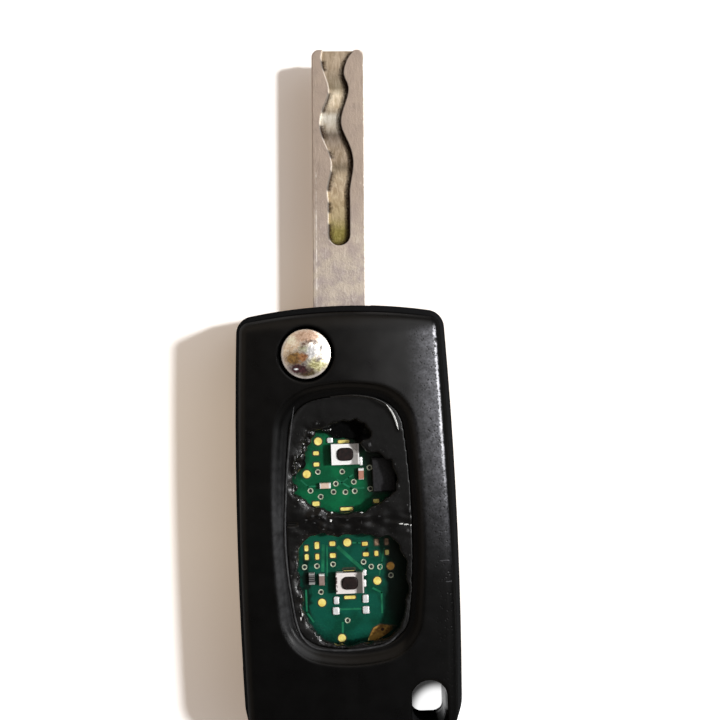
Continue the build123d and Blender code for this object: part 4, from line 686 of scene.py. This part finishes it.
def torn_pad():
    """The button pad in soft rubber: remeshed fine, its torn edges pulled ragged and left lumpy."""
    bm = bmesh.new()
    bm.from_mesh(NODES["button_pad"].data)
    bmesh.ops.remove_doubles(bm, verts=bm.verts, dist=1e-7)
    for x, y, z, radius, flat in TORN_LUMPS:
        place = Matrix.Translation((x * MM, y * MM, z * MM)) @ Matrix.Diagonal((1.0, 1.0, flat, 1.0))
        bmesh.ops.create_icosphere(bm, subdivisions=3, radius=radius * MM, matrix=place)
    rough = bpy.data.meshes.new("torn_pad_rough")
    bm.to_mesh(rough)
    bm.free()
    holder = bpy.data.objects.new("torn_pad_rough", rough)
    bpy.context.scene.collection.objects.link(holder)
    remesh = holder.modifiers.new("fine", "REMESH")
    remesh.mode = "VOXEL"
    remesh.voxel_size = 0.17 * MM
    evaluated = holder.evaluated_get(bpy.context.evaluated_depsgraph_get())
    fine = bpy.data.meshes.new_from_object(evaluated)
    bpy.data.objects.remove(holder)
    bm = bmesh.new()
    bm.from_mesh(fine)
    for turn in range(3):
        bmesh.ops.smooth_vert(bm, verts=bm.verts, factor=0.5, use_axis_x=True, use_axis_y=True, use_axis_z=True)
    torn = bm.verts.layers.float.new("torn")
    gloss = bm.verts.layers.float.new("gloss")
    dull = bm.verts.layers.float.new("dull")
    for v in bm.verts:
        x, y, z = v.co / MM
        if z < 11.0:
            continue
        top = max(0.0, min(1.0, (z - 12.3) / 0.8))
        d = min(line_distance(x, y, UPPER_TEAR), line_distance(x, y, LOWER_TEAR))
        near = math.exp(-d / 0.7)
        pull = noise.noise_vector(Vector((x * 0.55, y * 0.55, 3.0)))
        pull += 0.35 * noise.noise_vector(Vector((x * 1.6, y * 1.6, z)))
        v.co.x += 0.5 * MM * near * pull.x
        v.co.y += 0.5 * MM * near * pull.y
        droop = 0.35 + 0.5 * noise.noise(Vector((x * 0.6, y * 0.6, 0.0)))
        droop *= max(0.0, min(1.0, (2.5 - x) / 4.0))
        v.co.z -= max(0.0, droop) * near * MM * max(0.0, min(1.0, (z - 11.5) / 1.5))
        bridge = math.exp(-((y - 1.8) / 2.2) ** 2)
        # Above the upper switch the rubber is sunk towards the board, a dark sheet that barely shines, standing in for
        # the deep shade there
        wander = noise.noise_vector(Vector((x * 0.7, y * 0.7, 7.0)))
        reach = math.hypot((x - 0.5 + 0.9 * wander.x) / 3.2, (y - 15.9 + 0.7 * wander.y) / 1.75)
        sunk = max(0.0, min(1.0, (1.15 - reach) / 0.35))
        v.co.z -= sunk * 0.88 * (v.co.z - 10.4 * MM)
        # The strip between the windows is thinnest under the first one's middle
        v.co.y -= 0.95 * MM * math.exp(-((x - 0.8) / 3.0) ** 2 - ((y - 3.9) / 0.9) ** 2)
        ripple = noise.noise(Vector((x * 0.5, y * 0.9, z * 0.5)))
        v.co.z += (0.02 + 0.22 * bridge) * MM * ripple * top
        bead = min(line_distance(x, y, TOP_BEAD, False), line_distance(x, y, BOTTOM_BEAD, False))
        arc = max(0.0, min(1.0, (x - 4.0) / 2.5)) if y > 0.0 else 0.3
        v.co.z += 0.08 * MM * math.exp(-(bead / 0.33) ** 2) * top
        seam = math.exp(-((y - 1.75) / 0.2) ** 2) * max(0.0, min(1.0, (-7.4 - x) / 0.5))
        v.co.z -= 0.4 * MM * seam * top
        v[torn] = min(1.0, 1.3 * near) * (1.0 if x < -2.0 else 0.35)
        v[gloss] = max(0.5 * arc * math.exp(-(bead / 0.6) ** 2), 0.6 * bridge)
        border = 1.0 if d > 0.9 and z < 13.5 and abs(y - 1.6) > 2.4 else 0.0
        v[dull] = max(sunk, border)
    made = keep_piece(bm, "torn_pad", RUBBER, "fob")
    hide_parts("button_pad")
    return made


# Fine moulded rims round the pad: places, radius, height and which rubber; the pale rubber is a painted highlight on
# the top right arc, the grey one a painted highlight line along the left and bottom
RIMS = [([(-1.8, 21.6), (0.6, 21.75), (2.9, 21.6), (4.8, 21.2), (6.0, 20.7), (6.95, 20.1), (7.7, 19.15), (8.25, 17.9),
          (8.55, 16.8), (8.75, 16.0)], 0.24, 13.56, 0),
        ([(7.0, 20.05), (7.7, 19.15), (8.25, 17.9), (8.55, 16.8), (8.72, 16.1)], 0.16, 13.76, 2),
        ([(-7.5, 20.5), (-8.2, 16.6), (-8.85, 11.9), (-9.25, 7.2), (-9.6, 2.5), (-9.7, -1.4), (-9.6, -3.75), (-9.4, -6.7),
          (-9.1, -8.9), (-8.8, -11.2), (-8.5, -13.2), (-7.9, -15.4), (-6.9, -16.9), (-5.6, -17.75), (-4.05, -18.05),
          (-0.9, -18.3), (1.45, -18.2), (4.3, -17.85), (5.55, -17.5), (7.0, -16.65), (8.1, -15.2)], 0.17, 13.58, 1)]


def pad_rims():
    """The rims as slender rounded ridges that thin out at their ends, half sunk in the pad."""
    bm = bmesh.new()
    for places, radius, height, rubber in RIMS:
        line = bpy.data.curves.new("rim_line", "CURVE")
        line.dimensions = "3D"
        spline = line.splines.new("NURBS")
        spline.points.add(len(places) - 1)
        for point, (x, y) in zip(spline.points, places):
            point.co = (x * MM, y * MM, height * MM, 1.0)
        spline.points[0].radius = 0.3
        spline.points[-1].radius = 0.3
        spline.order_u = 3
        spline.use_endpoint_u = True
        line.bevel_depth = radius * MM
        line.bevel_resolution = 5
        line.use_fill_caps = True
        holder = bpy.data.objects.new("rim_line", line)
        bpy.context.scene.collection.objects.link(holder)
        evaluated = holder.evaluated_get(bpy.context.evaluated_depsgraph_get())
        before = len(bm.faces)
        bm.from_mesh(bpy.data.meshes.new_from_object(evaluated))
        bpy.data.objects.remove(holder)
        bm.faces.ensure_lookup_table()
        for face in bm.faces[before:]:
            face.material_index = rubber
    return keep_piece(bm, "pad_rims", [RIM_RUBBER, GREY_HIGHLIGHT_RUBBER, PALE_GLINT_RUBBER], "fob")


# Crumbs of rubber: place, half sizes and whether they are pale; the pale and the grey ones are painted glints
CRUMBS = [(4.1, 13.9, 0.3, 0.35, 0), (-2.03, 16.25, 0.14, 0.18, 1), (-2.2, 3.35, 0.24, 0.16, 1), (2.45, 3.2, 0.3, 0.12, 1),
          (-4.1, 17.5, 0.2, 0.2, 0), (-5.5, 16.1, 0.25, 0.2, 0), (-7.7, 12.1, 0.14, 0.2, 0), (-9.2, 13.6, 0.1, 0.16, 1),
          (-8.0, 8.7, 0.1, 0.16, 0), (-8.2, 7.0, 0.1, 0.2, 1), (-8.0, 6.0, 0.16, 0.1, 0), (6.5, 4.9, 0.3, 0.1, 0),
          (10.0, 3.5, 0.1, 0.5, 0), (9.7, 4.2, 0.12, 0.14, 0), (-3.6, 2.8, 0.3, 0.2, 0), (-2.4, 2.2, 0.16, 0.24, 1),
          (-3.6, 0.9, 0.2, 0.12, 0), (8.6, 1.3, 0.34, 0.1, 1), (9.4, 1.15, 0.4, 0.12, 1), (10.15, 1.0, 0.14, 0.16, 1),
          (9.6, 0.2, 0.28, 0.3, 0), (2.4, 1.7, 0.05, 0.3, 0), (-7.65, -13.1, 0.1, 0.3, 1), (-7.4, -12.4, 0.12, 0.3, 1),
          (-4.7, -16.6, 0.14, 0.14, 1), (-4.9, -16.1, 0.12, 0.12, 1), (-5.6, -15.6, 0.14, 0.1, 0), (-6.3, 14.3, 0.1, 0.1, 1),
          (-7.0, 10.7, 0.09, 0.09, 1), (-6.6, 5.2, 0.3, 0.12, 1), (-7.4, 5.6, 0.12, 0.12, 1), (-5.2, 4.1, 0.3, 0.1, 0),
          (0.2, 2.2, 0.2, 0.1, 0), (5.2, 2.6, 0.25, 0.1, 0), (-6.3, 2.4, 0.2, 0.16, 0), (-5.0, 1.9, 0.2, 0.12, 0)]


def rubber_crumbs(pad):
    """Small crumbs left by the tearing, each on whatever lies below its place; their pale and grey colours are painted
    glints.
    """
    ground = bmesh.new()
    ground.from_mesh(pad.data)
    tree = BVHTree.FromBMesh(ground)
    ground.free()
    bm = bmesh.new()
    for x, y, half_x, half_y, pale in CRUMBS:
        found = tree.ray_cast(Vector((x * MM, y * MM, 0.02)), Vector((0, 0, -1)))[0]
        z = max(found.z if found else 0.0, (BOARD_SURFACE + 0.05) * MM)
        size = Matrix.Diagonal((half_x, half_y, 0.6 * min(half_x, half_y), 1.0))
        crumb = bmesh.ops.create_icosphere(bm, subdivisions=3, radius=MM, matrix=Matrix.Translation((x * MM, y * MM, z)) @ size)
        for v in crumb["verts"]:
            v.co += 0.04 * MM * noise.noise_vector(v.co / MM * 6.0)
        for face in {f for v in crumb["verts"] for f in v.link_faces}:
            face.material_index = pale
    return keep_piece(bm, "rubber_crumbs", [GREY_HIGHLIGHT_RUBBER, PALE_GLINT_RUBBER], "fob")


def islands(bm):
    """The separate shapes in a bmesh, as sets of vertices."""
    left = set(bm.verts)
    while left:
        island, grown = set(), [left.pop()]
        while grown:
            v = grown.pop()
            island.add(v)
            fresh = {e.other_vert(v) for e in v.link_edges} & left
            left -= fresh
            grown += fresh
        yield island


def resized_copy(source, by, corner=0.0):
    """A node's shapes, each wider and longer by some millimetres, and with rounded upright edges."""
    bm = bmesh.new()
    bm.from_mesh(NODES[source].data)
    bmesh.ops.remove_doubles(bm, verts=bm.verts, dist=1e-7)
    bmesh.ops.dissolve_limit(bm, angle_limit=0.01, verts=bm.verts, edges=bm.edges)
    for island in islands(bm):
        for axis in (0, 1):
            low = min(v.co[axis] for v in island)
            high = max(v.co[axis] for v in island)
            for v in island:
                v.co[axis] = (low + high) / 2 + (v.co[axis] - (low + high) / 2) * (1 + by * MM / (high - low))
    if corner:
        upright = [e for e in bm.edges if abs(e.verts[0].co.z - e.verts[1].co.z) > 0.9 * e.calc_length()
                   and len(e.link_faces) == 2 and e.calc_face_angle() > 0.5]
        bmesh.ops.bevel(bm, geom=upright, offset=corner * MM, segments=4, profile=0.5, affect="EDGES", material=-1)
    return bm


def button_spring():
    """The coil under the release button, which in the real key shortens as the button goes down; here a welded copy of
    its own, left at rest.
    """
    bm = bmesh.new()
    bm.from_mesh(NODES["hub_spring"].data)
    bmesh.ops.remove_doubles(bm, verts=bm.verts, dist=1e-7)
    coil = keep_piece(bm, "button_spring", SPRING, "fob")
    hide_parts("hub_spring")
    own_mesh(coil)


def small_parts():
    """Lands and chips a hair smaller than drawn, as etched and as sawn, with a dark gap in the mask round each land."""
    for source, by, corner, material in (("gold_lands", -0.2, 0.18, GOLD), ("chip_capacitors", -0.22, 0.0, CAPACITOR),
                                         ("chip_resistors", -0.16, 0.0, RESISTOR)):
        made = keep_piece(resized_copy(source, by, corner), "fine_" + source, material, "fob", smooth=False)
        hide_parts(source)
    gaps = resized_copy("gold_lands", 0.12, 0.2)
    for v in gaps.verts:
        v.co.z = (BOARD_SURFACE + (0.02 if v.co.z > (BOARD_SURFACE + 0.03) * MM else 0.002)) * MM
    keep_piece(gaps, "land_gaps", LAND_GAP, "fob", smooth=False)


# Plated through holes of the board
VIAS = [(-4.3, 9.5), (-0.4, 9.4), (-1.5, 7.5), (-5.6, 6.5), (-4.0, 5.5), (-1.9, 6.2), (0.0, 6.1), (1.5, 6.2),
        (1.4, 7.7), (4.0, 9.9), (4.0, 6.5), (-7.0, -5.7), (-5.0, -5.6), (-2.4, -5.4), (2.5, -5.2), (3.7, -6.0),
        (5.1, -6.1), (6.8, -7.5), (-4.5, -9.8), (-0.4, -14.5), (5.1, -16.2)]
VIA_RADIUS = 0.45
VIA_BORE = 0.28


def via_rings():
    """Tinned rings round the plated holes, standing a hair above the mask, with the dark bores inside them."""
    bm = bmesh.new()
    for x, y in VIAS:
        place = Matrix.Translation((x * MM, y * MM, (BOARD_SURFACE + 0.03) * MM))
        disc = bmesh.ops.create_circle(bm, cap_ends=True, segments=24, radius=VIA_RADIUS * MM, matrix=place)
        face = disc["verts"][0].link_faces[0]
        rim = bmesh.ops.inset_region(bm, faces=[face], thickness=(VIA_RADIUS - VIA_BORE) * MM, use_boundary=True,
                                     use_even_offset=True)
        for ring in rim["faces"]:
            ring.material_index = 0
        face.material_index = 1
        bmesh.ops.translate(bm, verts=face.verts, vec=(0, 0, -0.02 * MM))
    return keep_piece(bm, "via_rings", [RING_TIN, VIA_HOLE], "fob", smooth=False)


# Copper tracks that show through the mask: corner places, and the width
TRACKS = [([(-3.9, -2.4), (-4.1, -6.3)], 0.5), ([(-3.3, -2.4), (-3.4, -7.2)], 0.25),
          ([(-1.4, -2.8), (2.4, -6.5)], 0.55), ([(3.9, -9.5), (5.2, -10.2), (5.2, -13.4)], 0.3),
          ([(-1.6, -12.7), (2.0, -12.7)], 0.3), ([(-1.2, -14.9), (-1.25, -16.7)], 0.35),
          ([(-7.0, 8.2), (-6.0, 7.2), (-2.6, 7.2)], 0.25), ([(-0.9, 7.4), (0.6, 8.4), (1.2, 8.8)], 0.25),
          ([(-1.2, 8.1), (0.9, 6.7), (2.9, 6.7)], 0.3), ([(5.9, -3.2), (5.4, -5.4), (4.8, -8.0)], 0.25),
          ([(-6.9, -9.5), (-6.9, -13.0), (-5.9, -14.5)], 0.3), ([(0.0, -2.0), (1.6, -2.1), (2.4, -2.2)], 0.25)]


def board_tracks():
    """The tracks, as flat strips of mask a little proud of the board over their copper."""
    bm = bmesh.new()
    for places, width in TRACKS:
        for start, end in zip(places, places[1:]):
            start, end = Vector(start), Vector(end)
            along = end - start
            turn = Matrix.Rotation(math.atan2(along.y, along.x), 4, "Z")
            middle = (start + end) / 2
            size = Matrix.Diagonal(((along.length + width) * MM, width * MM, 0.02 * MM, 1.0))
            place = Matrix.Translation((middle.x * MM, middle.y * MM, (BOARD_SURFACE + 0.01) * MM))
            strip = bmesh.ops.create_cube(bm, size=1.0, matrix=place @ turn @ size)
            edges = {e for v in strip["verts"] for e in v.link_edges}
            bmesh.ops.bevel(bm, geom=list(edges), offset=0.008 * MM, segments=1, profile=0.5, affect="EDGES",
                            material=-1)
    return keep_piece(bm, "board_tracks", COPPER_UNDER_MASK, "fob", smooth=False)


# Solder blobs: place and half sizes
BLOBS = [(-2.1, -11.2, 0.45, 0.6), (-2.2, -12.9, 0.55, 0.6), (2.6, -11.1, 0.5, 0.65), (2.6, -12.9, 0.55, 0.6),
         (-2.2, 14.5, 0.5, 0.42), (2.65, 11.0, 0.28, 0.7), (2.6, -6.9, 0.3, 0.5), (2.55, -8.6, 0.25, 0.6)]


def solder_blobs():
    """Solder reflowed on square lands, in place of the plain lumps: square with round shoulders and domed tops."""
    bm = bmesh.new()
    for x, y, half_x, half_y in BLOBS:
        size = Matrix.Diagonal((2 * half_x * MM, 2 * half_y * MM, 0.5 * MM, 1.0))
        place = Matrix.Translation((x * MM, y * MM, (BOARD_SURFACE + 0.05) * MM))
        block = bmesh.ops.create_cube(bm, size=1.0, matrix=place @ size)
        edges = {e for v in block["verts"] for e in v.link_edges}
        bmesh.ops.bevel(bm, geom=list(edges), offset=0.2 * MM, segments=5, profile=0.5, affect="EDGES", material=-1)
    made = keep_piece(bm, "solder_blobs", TIN, "fob")
    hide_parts("solder_lumps")
    return made


rubber_crumbs(torn_pad())
pad_rims()
button_spring()
small_parts()
via_rings()
board_tracks()
solder_blobs()


# Floor, light and camera

def white_floor():
    """Matt white card. Its own faint glow is for the camera and for mirrors, so the lit card reads as plain white."""
    bm = bmesh.new()
    bmesh.ops.create_grid(bm, x_segments=1, y_segments=1, size=2.0,
                          matrix=Matrix.Translation((0, 0, -0.00002)))
    mesh = bpy.data.meshes.new("white_card")
    bm.to_mesh(mesh)
    bm.free()
    material = bpy.data.materials.new("matt_white_card")
    material.use_nodes = True
    tree = material.node_tree
    shader = tree.nodes["Principled BSDF"]
    shader.inputs["Roughness"].default_value = 0.9
    shader.inputs["Specular IOR Level"].default_value = 0.0
    shader.inputs["Base Color"].default_value = (0.86, 0.86, 0.86, 1.0)
    path = add(tree, "LightPath")
    mm = add(tree, "Mapping", {"Vector": add(tree, "TexCoord").outputs["Object"], "Scale": (1000, 1000, 1000)})
    # Deepest under the case, less glow beside the blade and below
    along = add(tree, "SeparateXYZ", {0: mm.outputs[0]}).outputs[1]
    along = add(tree, "Math", {0: along, 1: 8.0}, operation="SUBTRACT").outputs[0]
    along = add(tree, "Math", {0: along}, operation="ABSOLUTE").outputs[0]
    ends = add(tree, "MapRange", {0: along, 1: 12.0, 2: 44.0}).outputs[0]
    beige = add(tree, "Mix", {0: ends, 6: (0.335, 0.245, 0.165, 1.0), 7: (0.24, 0.17, 0.118, 1.0)}, data_type="RGBA").outputs[2]
    # The card glows more under the key ring's hole, where the photo's card is plain white with a shaded upper left
    reach = add(tree, "VectorMath", {0: mm.outputs[0], 1: (13.0, -32.0, 0)}, operation="DISTANCE").outputs["Value"]
    through = add(tree, "MapRange", {0: reach, 1: 8.0, 2: 5.5}).outputs[0]
    off = add(tree, "VectorMath", {0: mm.outputs[0], 1: (14.2, -33.6, 0)}, operation="DISTANCE").outputs["Value"]
    shaded = add(tree, "MapRange", {0: off, 1: 3.2, 2: 5.2}, interpolation_type="SMOOTHSTEP").outputs[0]
    white = add(tree, "Mix", {0: shaded, 6: (1.0, 1.0, 1.0, 1.0), 7: (0.03, 0.03, 0.03, 1.0)}, data_type="RGBA").outputs[2]
    glow = add(tree, "Mix", {0: through, 6: beige, 7: white}, data_type="RGBA").outputs[2]
    tree.links.new(glow, shader.inputs["Emission Color"])
    seen = add(tree, "Math", {0: path.outputs["Is Camera Ray"], 1: path.outputs["Is Glossy Ray"]}, operation="ADD")
    tree.links.new(seen.outputs[0], shader.inputs["Emission Strength"])
    mesh.materials.append(material)
    card = bpy.data.objects.new("white_card", mesh)
    bpy.context.scene.collection.objects.link(card)


def room_light():
    """An even room for diffuse light. Shiny things see a beige room, white to the right and dark overhead."""
    world = bpy.data.worlds.new("pale_room")
    bpy.context.scene.world = world
    world.use_nodes = True
    tree = world.node_tree
    tree.nodes.clear()
    direction = add(tree, "TexCoord").outputs["Generated"]
    overhead = add(tree, "VectorMath", {0: direction, 1: (-0.15, -0.35, 0.92)}, operation="DOT_PRODUCT")
    ceiling = add(tree, "MapRange", {0: overhead.outputs["Value"], 1: 0.74, 2: 0.88})
    right = add(tree, "VectorMath", {0: direction, 1: (0.70, 0.30, 0.65)}, operation="DOT_PRODUCT")
    window = add(tree, "MapRange", {0: right.outputs["Value"], 1: 0.70, 2: 0.96}, interpolation_type="SMOOTHSTEP")
    parts = add(tree, "SeparateXYZ", {0: direction})
    horizon = add(tree, "MapRange", {0: parts.outputs[2], 1: 0.35, 2: 0.12}).outputs[0]
    not_left = add(tree, "MapRange", {0: parts.outputs[0], 1: -0.6, 2: -0.1}).outputs[0]
    horizon = add(tree, "Math", {0: horizon, 1: not_left}, operation="MULTIPLY").outputs[0]
    colour = add(tree, "Mix", {0: ceiling.outputs[0], 6: "#cbb9a5", 7: "#3c3028"}, data_type="RGBA").outputs[2]
    colour = add(tree, "Mix", {0: window.outputs[0], 6: colour, 7: (3.0, 3.0, 3.05, 1.0)}, data_type="RGBA").outputs[2]
    colour = add(tree, "Mix", {0: horizon, 6: colour, 7: "#1c1b1a"}, data_type="RGBA").outputs[2]
    path = add(tree, "LightPath")
    shiny = add(tree, "Background", {"Color": colour, "Strength": 1.0})
    even = add(tree, "Background", {"Color": (1.0, 0.99, 0.97, 1.0), "Strength": 0.22})
    plain = add(tree, "Background", {"Color": (1.0, 1.0, 1.0, 1.0), "Strength": 1.0})
    first = add(tree, "MixShader", {0: path.outputs["Is Diffuse Ray"], 1: shiny.outputs[0], 2: even.outputs[0]})
    second = add(tree, "MixShader", {0: path.outputs["Is Camera Ray"], 1: first.outputs[0], 2: plain.outputs[0]})
    add(tree, "OutputWorld", {"Surface": second.outputs[0]})


def key_lamp():
    lamp = bpy.data.lights.new("window_light", "SUN")
    lamp.energy = 3.7
    lamp.angle = math.radians(5.0)
    made = bpy.data.objects.new("window_light", lamp)
    made.rotation_euler = Vector((1.0, 0.14, 1.0)).to_track_quat("Z", "Y").to_euler()
    bpy.context.scene.collection.objects.link(made)


def photo_camera():
    lens = bpy.data.cameras.new("overhead")
    lens.sensor_width = 36.0
    lens.lens = 45.05
    lens.clip_start = 0.01
    made = bpy.data.objects.new("overhead", lens)
    made.location = (0.00311, 0.02721, 0.155)
    made.rotation_euler = (0, 0, math.radians(-2.1))
    bpy.context.scene.collection.objects.link(made)
    bpy.context.scene.camera = made


white_floor()
room_light()
key_lamp()
photo_camera()
bpy.context.scene.view_settings.view_transform = "Standard"
